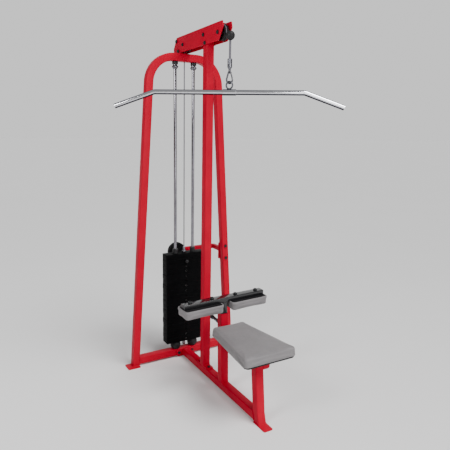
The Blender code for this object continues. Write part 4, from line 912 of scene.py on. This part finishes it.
for side, label in ((-1, "left"), (1, "right")):
    z = head_top + 3 * GAP
    profile = softened([(0.0107, z + 0.032), (0.0160, z + 0.032), (0.0180, z + 0.029), (0.0180, z + 0.004), (0.0190, z + 0.003), (0.0190, z), (0.0107, z)], 0.0009)
    shown(make("slide_bush_" + label, *lathe(profile, "z", (side * ROD_X, HOOP_Y, 0), 56), NYLON, "stack"), "nylon", "stack_bush_" + label)

fit_z = head_top + 3 * GAP
pin_z = top_rest + GAP + PLATE_PITCH / 2
stem_profile = softened(
    [
        (0.0001, 0.8050), (0.0060, 0.8050), (0.0085, 0.8010), (0.0085, fit_z + 0.020), (0.0145, fit_z + 0.016), (0.0145, fit_z),
        (STEM_R, fit_z), (STEM_R, 0.084), (0.0075, 0.0770), (0.0001, 0.0770),
    ], 0.0008,
)
stem_obj = make("stem_rod", *lathe(stem_profile, "z", (0, HOOP_Y, 0), 48), ZINC, "stack")
shown(stem_obj, "zinc", "selector_stem")
stem_obj.data.materials[0] = ROD
drill(stem_obj, [
    lathe([(0.0001, -0.03), (0.0054, -0.03), (0.0054, 0.03), (0.0001, 0.03)], "y", (0, HOOP_Y, pin_z), 24)
])

knob = [(0.0001, -0.0555)] + [(0.0050 + 0.0075 * math.sin(a), -0.0480 - 0.0075 * math.cos(a)) for a in [PI * k / 14 for k in range(2, 12)]] + [(0.0085, -0.0408), (0.0001, -0.0408)]
shown(make("selector_knob", *lathe(knob, "y", (0, HOOP_Y, pin_z), 40), NYLON, "selector", 50), "nylon", "selector_pin")
shaft = softened([(0.0001, -0.0408), (0.0046, -0.0408), (0.0046, 0.0085), (0.0030, 0.0110), (0.0001, 0.0110)], 0.0004)
shown(make("selector_shaft", *lathe(shaft, "y", (0, HOOP_Y, pin_z), 24), CHROME, "selector"), "zinc")

# ----------------------------------------------------------------- cable
rear = [(0, HOOP_Y, 0.8050 + GAP + (AXLE_Z - 0.8050 - GAP) * k / 90) for k in range(91)]
rear_obj = make("cable_up_run", *wire(rear, CABLE_R, 16), COAT, "frame", 60)
shown(rear_obj, "cable_coat", "cable_rear_run")
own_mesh(rear_obj)
top_run = [(0, HOOP_Y, AXLE_Z)]
top_run += [(0, REAR_AXLE_Y + PITCH_R * math.cos(a), AXLE_Z + PITCH_R * math.sin(a)) for a in [PI / 2 * k / 20 for k in range(21)]]
top_run += [(0, REAR_AXLE_Y + (FRONT_AXLE_Y - REAR_AXLE_Y) * k / 24, AXLE_Z + PITCH_R) for k in range(1, 24)]
top_run += [(0, FRONT_AXLE_Y + PITCH_R * math.cos(a), AXLE_Z + PITCH_R * math.sin(a)) for a in [PI / 2 + PI / 2 * k / 20 for k in range(21)]]
shown(make("cable_top_run", *wire(top_run[1:], CABLE_R, 16), COAT, "frame", 60), "cable_coat", "cable_boom_run")
front_y = FRONT_AXLE_Y - PITCH_R
towards = (Vector((0, front_y, AXLE_Z - 0.010)) - Vector((0, CABLE_Y, BALL_Z))).normalized()
enter = Vector((0, CABLE_Y, BALL_Z)) + towards * (BALL_R - 0.002)
start = Vector((0, front_y, AXLE_Z))
ctrl = Vector((0, front_y, AXLE_Z - 0.009))
front = [start * (1 - t) ** 2 + ctrl * 2 * t * (1 - t) + enter * t ** 2 for t in [k / 60 for k in range(61)]]
front_mesh = make("cable_down_run", *wire(front, CABLE_R * 0.985, 16), COAT, None, 60)
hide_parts("cable_front_run")
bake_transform(front_mesh)

# Stop ball: two moulded halves with a seam, and the sheathed cable below it.
profile = []
for k in range(41):
    a = -PI / 2 + PI * k / 40
    r = BALL_R * math.cos(a)
    h = BALL_R * math.sin(a)
    if abs(h) < 0.0009:
        r -= 0.0005
    profile.append((max(r, 0.0001), h))
ball_obj = make("stop_ball", *lathe(profile, "z", (0, CABLE_Y, BALL_Z), 64), RUBBER, "cable_end", 50)
shown(ball_obj, "rubber", "ball_stop")
sheath = lathe(softened([(0.0001, BALL_Z - BALL_R - 0.0003), (SHEATH_R, BALL_Z - BALL_R - 0.0003), (SHEATH_R, 1.968), (0.0001, 1.968)], 0.0008), "z", (0, CABLE_Y, 0), 32)
tail_obj = make("cable_tail", *sheath, COAT, "hook_link", 50)
shown(tail_obj, "cable_coat", "cable_ferrule")

WIRE_R, RING_R, RING_WIRE, EYE_WIRE = 0.0045, 0.0195, 0.0046, 0.0033
FERRULE_TOP, FERRULE_LOW, HOOK_TOP, HOOK_LOW = 1.972, 1.925, 1.909, 1.8382
RING_Z = HOOK_LOW + 2 * WIRE_R + 2 * GAP + RING_WIRE - RING_R
hook_yaw, ring_yaw = BAR_YAW + math.radians(32), BAR_YAW - math.radians(32)
turn_f = Matrix.Rotation(hook_yaw + PI / 2, 4, "Z")
turn_h = Matrix.Rotation(hook_yaw, 4, "Z")
turn_r = Matrix.Rotation(ring_yaw, 4, "Z")
at = Matrix.Translation((0, CABLE_Y, 0))

# Turned ferrule with crimp rings, tapering to its eye.
crimp = [(SHEATH_R + 0.0001, 1.9722), (0.0115, 1.9722), (0.0131, 1.9706)]
for z in (1.9640, 1.9560, 1.9480):
    crimp += [(0.0131, z + 0.0018), (0.0123, z + 0.0010), (0.0123, z - 0.0010), (0.0131, z - 0.0018)]
crimp += [(0.0131, 1.9290), (0.0124, 1.9262), (0.0080, 1.9185), (0.0070, 1.9150), (0.0020, 1.9140), (0.0001, 1.9300), (0.0001, 1.9500), (SHEATH_R + 0.0001, 1.9600)]
shown(make("ferrule_sleeve", *moved(lathe(crimp, "z", (0, 0, 0), 48), at), ZINC, "hook_link", 40), "zinc")
eye_low = HOOK_TOP - 2 * WIRE_R - GAP
eye = [(0.0050, 0, FERRULE_LOW + 0.004)]
for k in range(25):
    a = PI * k / 24
    eye.append((0.0080 * math.cos(a), 0, eye_low - EYE_WIRE + 0.0080 - 0.0080 * math.sin(a)))
eye.append((-0.0050, 0, FERRULE_LOW + 0.004))
shown(make("ferrule_eye", *moved(wire(eye, EYE_WIRE * 0.98, 16), at @ turn_f), COAT, "hook_link", 60), "cable_coat")

# Snap hook.
low_r, top_r = 0.0190, 0.0085
low_c, top_c = HOOK_LOW + WIRE_R + low_r, HOOK_TOP - WIRE_R - top_r
lean = math.asin((low_r - top_r) / (top_c - low_c))
nose = Vector((top_r * math.cos(lean), 0, top_c + top_r * math.sin(lean)))
tangent = Vector((math.sin(lean), 0, -math.cos(lean)))
loop = [tuple(nose + tangent * 0.0020), tuple(nose + tangent * 0.0010)]
for k in range(25):
    a = lean + (PI - 2 * lean) * k / 24
    loop.append((top_r * math.cos(a), 0, top_c + top_r * math.sin(a)))
for k in range(37):
    a = PI - lean + (PI + 2 * lean - math.radians(8)) * k / 36
    loop.append((low_r * math.cos(a), 0, low_c + low_r * math.sin(a)))
shown(make("hook_wire", *moved(wire(loop, WIRE_R, 20, dome=0.0022), at @ turn_h), LINK, "hook_link", 60), "zinc", "snap_hook")
gate_a = nose + tangent * 0.0064
gate_b = Vector((loop[-1][0] - 0.0004, 0, loop[-1][2] + 0.0046))
gate_pts = [gate_b.lerp(gate_a, k / 10) for k in range(11)]
gate_radii = [WIRE_R * 0.8 * (1.12 if k in (0, 1, 9, 10) else 1.0) for k in range(11)]
shown(make("gate_bar", *moved(wire(gate_pts, gate_radii, 18, dome=0.0016), at @ turn_h), LINK, "gate", 60), "zinc", "hook_gate")

# Eye ring and sleeve.
ring_pts = [(RING_R * math.cos(2 * PI * k / 56), 0, RING_Z + RING_R * math.sin(2 * PI * k / 56)) for k in range(56)]
ring_obj = make("eye_ring", *moved(wire(ring_pts, RING_WIRE * 0.985, 20, True), at @ turn_r), LINK, "hanger", 60)
bore_m = Matrix.Translation((0, CABLE_Y, BAR_Z)) @ Matrix.Rotation(BAR_YAW, 4, "Z")
cut = moved(lathe([(0.0001, -0.06), (BAR_R + 0.0004, -0.06), (BAR_R + 0.0004, 0.06), (0.0001, 0.06)], "x", (0, 0, 0), 40), bore_m)
drill(ring_obj, [cut])
shown(ring_obj, "zinc", "bar_hanger")
# The sleeve takes the bar's material, with its painted highlight and shade.
sleeve = softened([(BAR_R + 0.0004, 0.0375), (0.0160, 0.0375), (0.0170, 0.0362), (0.0170, -0.0362), (0.0160, -0.0375), (BAR_R + 0.0004, -0.0375)], 0.0006)
shown(make("bar_sleeve", *moved(lathe(sleeve, "x", (0, 0, 0), 56), bore_m), PAINTED_REFLECTION_BAR, "hanger"), "zinc")

# Pull bar, bent down towards its ends.
down = math.atan2(BAR_DROP, BAR_REACH - BAR_FLAT)
bend_r = 0.045
cut_len = bend_r * math.tan(down / 2)
half_pts = [(k * 0.04, 0, 0.0) for k in range(1, 10)]
half_pts += [(BAR_FLAT - cut_len + bend_r * math.sin(down * k / 14), 0, -bend_r * (1 - math.cos(down * k / 14))) for k in range(15)]
end_pt = Vector((BAR_REACH, 0, -BAR_DROP))
start_pt = Vector(half_pts[-1])
half_pts += [tuple(start_pt.lerp(end_pt, k / 12)) for k in range(1, 13)]
bar_pts = [(-x, y, z) for x, y, z in reversed(half_pts)] + [(0, 0, 0)] + half_pts
bar_m = Matrix.Translation((0, CABLE_Y, BAR_Z)) @ Matrix.Rotation(BAR_YAW, 4, "Z")
# The bar's bright middle and dark top and underside are painted reflection and shade, fixed to the bar.
bar_obj = make("pull_bar_tube", *moved(wire(bar_pts, BAR_R, 40, dome=0.0), bar_m), PAINTED_REFLECTION_BAR, "pull_bar", 60)
shown(bar_obj, "chrome", "lat_bar")

# ------------------------------------------------------------ thigh pads
# This group is made upright, and leaned with the post at the end.
made_before = set(bpy.data.objects)
stem_path = [(0, THIGH_Y, z) for z in (0.190, 0.4, BAR2_Z0 + 0.002)]
inner_tube = rect_tube(stem_path, (0, 1, 0), 0.041, 0.041, 0.004, 0.0025)
obj = make("slider_tube", *inner_tube, GLOSS, "thigh_rest")
shown(obj, "black_paint", "thigh_slider")
drill(obj, [
    lathe([(0.0001, 0.010), (0.0055, 0.010), (0.0055, 0.030), (0.0001, 0.030)], "y", (0, THIGH_Y, PIN_Z - 0.045 * k), 24) for k in range(4)
])
cross_path = [(REST_X + x, THIGH_Y, (BAR2_Z0 + BAR2_Z1) / 2) for x in (-0.2735, -0.1, 0.1, 0.2735)]
cross = make("slider_cross", *rect_tube(cross_path, (0, 1, 0), BAR2_Z1 - BAR2_Z0, 0.050, 0.0035, 0.0025), GLOSS, "thigh_rest")
shown(cross, "black_paint")
for side, label in ((-1, "left"), (1, "right")):
    cap = slab([(x, y) for x, y in round_rect(0.0498, BAR2_Z1 - BAR2_Z0 - 0.0002, 0.0035, 4)], 0.0, 0.0022, 0.0008)
    m = Matrix.Translation((REST_X + side * 0.2715, THIGH_Y, (BAR2_Z0 + BAR2_Z1) / 2)) @ Matrix(((0, 0, side, 0), (1, 0, 0, 0), (0, 1, 0, 0), (0, 0, 0, 1)))
    shown(make("cross_cap_" + label, *moved(cap, m), NYLON, "thigh_rest"), "black_paint")
weld("slider_weld", (0, THIGH_Y, BAR2_Z0 - 0.0008), (1, 0, 0), (0, 1, 0), 0.041, 0.041, "thigh_rest", 0.004, 0.0022, mat=GLOSS)

PAD_MID = (PAD_IN + PAD_OUT) / 2
for side, label in ((-1, "left"), (1, "right")):
    outline = [(x + REST_X + side * PAD_MID, y + THIGH_Y) for x, y in round_rect(PAD_OUT - PAD_IN, PAD_D, 0.021, 8)]
    board = make("pad_back_" + label, *slab(shrunk(outline, 0.0032), BAR2_Z0 - GAP - 0.010, BAR2_Z0 - GAP, 0.0012), BOARD, "thigh_rest")
    shown(board, "board", "pad_board_" + label)
    for place, reach in (("inner", 0.0813), ("outer", 0.2280)):
        dome = [(0.0001, -0.0350), (0.0036, -0.0350), (0.0039, -0.0346), (0.0039, 0.0002), (0.0120, 0.0002), (0.0125, 0.0006), (0.0125, 0.0022)]
        dome += [(0.0116, 0.0027), (0.0114, 0.0056), (0.0104, 0.0086), (0.0084, 0.0106), (0.0056, 0.0112), (0.0040, 0.0108), (0.0040, 0.0066), (0.0001, 0.0062)]
        head = make("rest_bolt_%s_%s" % (label, place), *lathe(dome, "z", (REST_X + side * reach, THIGH_Y, BAR2_Z1), 32), OXIDE, "thigh_rest", 40)
        shown(head, "bolt_black", "pad_bolt_%s_%s" % (label, place))

back = THIGH_Y + 0.025 + GAP
housing = softened(
    [(0.0058, 0.0880), (0.0093, 0.0880), (0.0093, 0.0420), (0.0125, 0.0400), (0.0125, 0.0120), (0.0140, 0.0110), (0.0140, 0.0), (0.0058, 0.0)], 0.0008,
)
shown(make("plunger_housing", *lathe(housing, "y", (0, back, PIN_Z), 48), ZINC, "frame"), "zinc", "pin_housing")
pull = [(0.0001, 0.1160)] + [(0.0065 + 0.0065 * math.cos(a), 0.1095 + 0.0065 * math.sin(a)) for a in [PI / 2 - PI / 2 * k / 8 for k in range(9)]]
pull += [(0.0130, 0.0950), (0.0122, 0.0915), (0.0100, 0.0890), (0.0001, 0.0890)]
shown(make("plunger_knob", *lathe(pull, "y", (0, back, PIN_Z), 48), NYLON, "plunger", 50), "nylon", "pull_pin")
rod = softened([(0.0001, 0.0895), (0.0048, 0.0895), (0.0048, -0.0030), (0.0038, -0.0037), (0.0001, -0.0037)], 0.0004)
shown(make("plunger_rod", *lathe(rod, "y", (0, back, PIN_Z), 24), CHROME, "plunger"), "nylon")

leaning = [obj for obj in bpy.data.objects if obj not in made_before]

# --------------------------------------------------------------- cushions
def seat_points(grow, seg=8):
    return rounded(
        [
            (-SEAT_HALF_REAR - grow, SEAT_REAR + grow), (-SEAT_HALF_FRONT - grow, SEAT_FRONT - grow),
            (SEAT_HALF_FRONT + grow, SEAT_FRONT - grow), (SEAT_HALF_REAR + grow, SEAT_REAR + grow),
        ],
        [0.020, 0.024, 0.024, 0.020], seg,
    )


def cushion(name, outline, low, high, free_up, edge, cap):
    """A padded block, filled out by a cloth simulation. Its flat side rests on a board."""
    start = shrunk(outline, 0.0012)
    seg = 5
    layers = []
    if free_up:
        layers = [[(x, y, low + (high - edge - low) * t) for x, y in start] for t in (0, 0.5)]
        for k in range(seg + 1):
            a = PI / 2 * k / seg
            layers.append([(x, y, high - edge + edge * math.sin(a)) for x, y in shrunk(start, edge * (1 - math.cos(a)))])
    else:
        for k in range(seg, -1, -1):
            a = PI / 2 * k / seg
            layers.append([(x, y, low + edge - edge * math.sin(a)) for x, y in shrunk(start, edge * (1 - math.cos(a)))])
        layers += [[(x, y, high + (low + edge - high) * t) for x, y in start] for t in (0.5, 0)]
    obj = make(name, *loft(layers), VINYL, None, 60)
    for other in bpy.context.selected_objects:
        other.select_set(False)
    bpy.context.view_layer.objects.active = obj
    obj.select_set(True)
    obj.data.remesh_voxel_size = 0.0045
    obj.data.remesh_voxel_adaptivity = 0.0
    bpy.ops.object.voxel_remesh()
    mesh = obj.data
    rest = np.empty(len(mesh.vertices) * 3)
    mesh.vertices.foreach_get("co", rest)
    rest = rest.reshape(-1, 3)
    group = obj.vertex_groups.new(name="held")
    flat = low if free_up else high
    group.add([int(i) for i in np.nonzero(np.abs(rest[:, 2] - flat) < 0.005)[0]], 1.0, "REPLACE")
    mod = obj.modifiers.new("fill", "CLOTH")
    s = mod.settings
    s.quality = 5
    s.mass = 0.25
    s.tension_stiffness = s.compression_stiffness = 20
    s.shear_stiffness = 8
    s.bending_stiffness = 2.0
    s.use_pressure = True
    s.uniform_pressure_force = 4.0
    s.vertex_group_mass = "held"
    s.effector_weights.gravity = 0.0
    mod.collision_settings.use_collision = False
    mod.point_cache.frame_start, mod.point_cache.frame_end = 1, 20
    scene = bpy.context.scene
    for f in range(1, 21):
        scene.frame_set(f)
    shaped = obj.evaluated_get(bpy.context.evaluated_depsgraph_get())
    filled = shaped.to_mesh()
    found = np.empty(len(filled.vertices) * 3)
    filled.vertices.foreach_get("co", found)
    shaped.to_mesh_clear()
    move = found.reshape(-1, 3) - rest
    size = np.linalg.norm(move, axis=1, keepdims=True)
    move *= np.minimum(1.0, cap / np.maximum(size, 1e-9))
    obj.modifiers.clear()
    scene.frame_set(1)
    mesh.vertices.foreach_set("co", (rest + move).reshape(-1))
    bm = bmesh.new()
    bm.from_mesh(mesh)
    free = [v for v in bm.verts if abs(v.co.z - flat) > 0.004]
    bmesh.ops.smooth_vert(bm, verts=free, factor=0.5, use_axis_x=True, use_axis_y=True, use_axis_z=True)
    bm.to_mesh(mesh)
    bm.free()
    return obj


def fit_box(obj, low, high):
    """Keeps a cushion inside its own room."""
    mesh = obj.data
    co = np.empty(len(mesh.vertices) * 3)
    mesh.vertices.foreach_get("co", co)
    co = co.reshape(-1, 3)
    for axis in range(3):
        a, b = co[:, axis].min(), co[:, axis].max()
        co[:, axis] = low[axis] + (co[:, axis] - a) * (high[axis] - low[axis]) / (b - a)
    mesh.vertices.foreach_set("co", co.reshape(-1))
    mesh.update()


def finish_cushion(obj, slot, node, body):
    mod = obj.modifiers.new("smooth", "SUBSURF")
    mod.levels = mod.render_levels = 1
    bpy.context.view_layer.update()
    graph = bpy.context.evaluated_depsgraph_get()
    fresh = bpy.data.meshes.new_from_object(obj.evaluated_get(graph))
    obj.modifiers.clear()
    obj.data = fresh
    obj.vertex_groups.clear()
    obj.data.shade_smooth()
    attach(obj, body)
    shown(obj, slot, node)


board_t = 0.008
board_z = RAIL_Z1 + GAP
shown(make("seat_base", *slab(seat_points(-0.0030), board_z, board_z + board_t, 0.0012), BOARD, "frame"), "board", "seat_board")
pad_z = board_z + board_t + GAP
seat = cushion("seat_pad", seat_points(0.0), pad_z, SEAT_TOP, True, 0.010, 0.0045)
fit_box(seat, (-SEAT_HALF_FRONT - 0.0015, SEAT_FRONT - 0.002, pad_z), (SEAT_HALF_FRONT + 0.0015, SEAT_REAR + 0.002, SEAT_TOP + 0.002))
finish_cushion(seat, "vinyl", "seat_cushion", "frame")

for side, label in ((-1, "left"), (1, "right")):
    outline = [(x + REST_X + side * PAD_MID, y + THIGH_Y) for x, y in round_rect(PAD_OUT - PAD_IN, PAD_D, 0.021, 8)]
    top = BAR2_Z0 - 2 * GAP - 0.010
    pad = cushion("thigh_cushion_" + label, outline, PAD_Z0, top, False, 0.007, 0.0030)
    fit_box(pad, (REST_X + side * PAD_MID - (PAD_OUT - PAD_IN) / 2 - 0.001, THIGH_Y - PAD_D / 2 - 0.001, PAD_Z0 - 0.0015), (REST_X + side * PAD_MID + (PAD_OUT - PAD_IN) / 2 + 0.001, THIGH_Y + PAD_D / 2 + 0.001, top))
    leaning.append(pad)
    finish_cushion(pad, "vinyl", "thigh_pad_" + label, "thigh_rest")
    # The cover goes on up round the board and is pulled over its edge.
    rim = []
    for grow, z in ((0.0006, top - 0.004), (0.0006, top + 0.0075), (-0.0004, top + 0.0102), (-0.0030, top + 0.0112), (-0.0058, top + 0.0108), (-0.0062, top + 0.0102), (-0.0030, top + 0.0060), (-0.0030, top - 0.004)):
        rim.append([(x, y, z) for x, y in shrunk(outline, -grow)])
    wrap = make("pad_cover_rim_" + label, *loft(rim, True, True), VINYL, "thigh_rest", 60)
    leaning.append(shown(wrap, "vinyl"))

for obj in leaning:
    obj.data.transform(Matrix.Translation((0, 0, BEAM_Z1 + GAP)) @ Matrix.Rotation(-LEAN, 4, "Y") @ Matrix.Translation((0, 0, -BEAM_Z1 - GAP)))

# ------------------------------------------------------- stage and light
floor_mat = shader("pale_floor", (0.80, 0.80, 0.80), 0.85, Specular_IOR_Level=0.1)
tint(floor_mat, noise(floor_mat, 0.6, 2.0), [(0.3, (0.795, 0.795, 0.795)), (0.7, (0.805, 0.805, 0.805))])
mesh = bpy.data.meshes.new("floor")
mesh.from_pydata([(-150, -150, 0), (150, -150, 0), (150, 150, 0), (-150, 150, 0)], [], [(0, 1, 2, 3)])
mesh.materials.append(floor_mat)
floor = bpy.data.objects.new("floor", mesh)
bpy.context.scene.collection.objects.link(floor)

# The surroundings: a grey room with one pale wall.
WALL_LEVEL, ROOM_LEVEL = 0.90, 0.26
world = bpy.data.worlds.new("studio")
world.use_nodes = True
bpy.context.scene.world = world
tree = world.node_tree
background = tree.nodes["Background"]
place = tree.nodes.new("ShaderNodeTexCoord")
dot = tree.nodes.new("ShaderNodeVectorMath")
dot.operation = "DOT_PRODUCT"
dot.inputs[1].default_value = Vector((0.4728, 0.8603, 0.0)).normalized()
fade = tree.nodes.new("ShaderNodeMapRange")
fade.interpolation_type = "SMOOTHSTEP"
for key, number in (("From Min", 0.70), ("From Max", 0.85), ("To Min", ROOM_LEVEL), ("To Max", WALL_LEVEL)):
    fade.inputs[key].default_value = number
tree.links.new(place.outputs["Generated"], dot.inputs[0])
tree.links.new(dot.outputs["Value"], fade.inputs["Value"])
tree.links.new(fade.outputs[0], background.inputs["Strength"])
background.inputs["Color"].default_value = (1.0, 1.0, 1.0, 1.0)


def aimed(obj, at, aim):
    obj.location = at
    obj.rotation_euler = (Vector(aim) - Vector(at)).to_track_quat("-Z", "Y").to_euler()
    bpy.context.scene.collection.objects.link(obj)
    return obj


def area(name, at, aim, size, size_y, power):
    data = bpy.data.lights.new(name, "AREA")
    data.shape = "RECTANGLE"
    data.size, data.size_y = size, size_y
    data.energy = power
    return aimed(bpy.data.objects.new(name, data), at, aim)


sun = bpy.data.lights.new("window_light", "SUN")
sun.energy = 3.2
sun.angle = math.radians(32)
aimed(bpy.data.objects.new("window_light", sun), (0.9, -1.9, 3.2), (0, 0, 0))
area("front_box", (0.2, -4.2, 2.0), (0, 0, 1.2), 3.0, 2.0, 74)
area("strip_left", (-2.8, -1.0, 2.9), (0, 0, 2.0), 0.9, 1.2, 56)

camera = bpy.data.cameras.new("camera")
camera.sensor_width = 36.0
camera.lens = 37.49
camera.shift_x = 0.0505
camera.clip_end = 200
cam = bpy.data.objects.new("camera", camera)
yaw, pitch, roll = -0.5025, -0.1917, 0.0097
forward = Vector((-math.sin(yaw) * math.cos(pitch), math.cos(yaw) * math.cos(pitch), math.sin(pitch)))
right = Vector((math.cos(yaw), math.sin(yaw), 0))
up = right.cross(forward)
r2 = right * math.cos(roll) + up * math.sin(roll)
u2 = up * math.cos(roll) - right * math.sin(roll)
m = Matrix((
    (r2.x, u2.x, -forward.x, -1.414), (r2.y, u2.y, -forward.y, -2.5174 + POST_Y), (r2.z, u2.z, -forward.z, 1.568), (0, 0, 0, 1),
))
cam.matrix_world = m
bpy.context.scene.collection.objects.link(cam)
bpy.context.scene.camera = cam
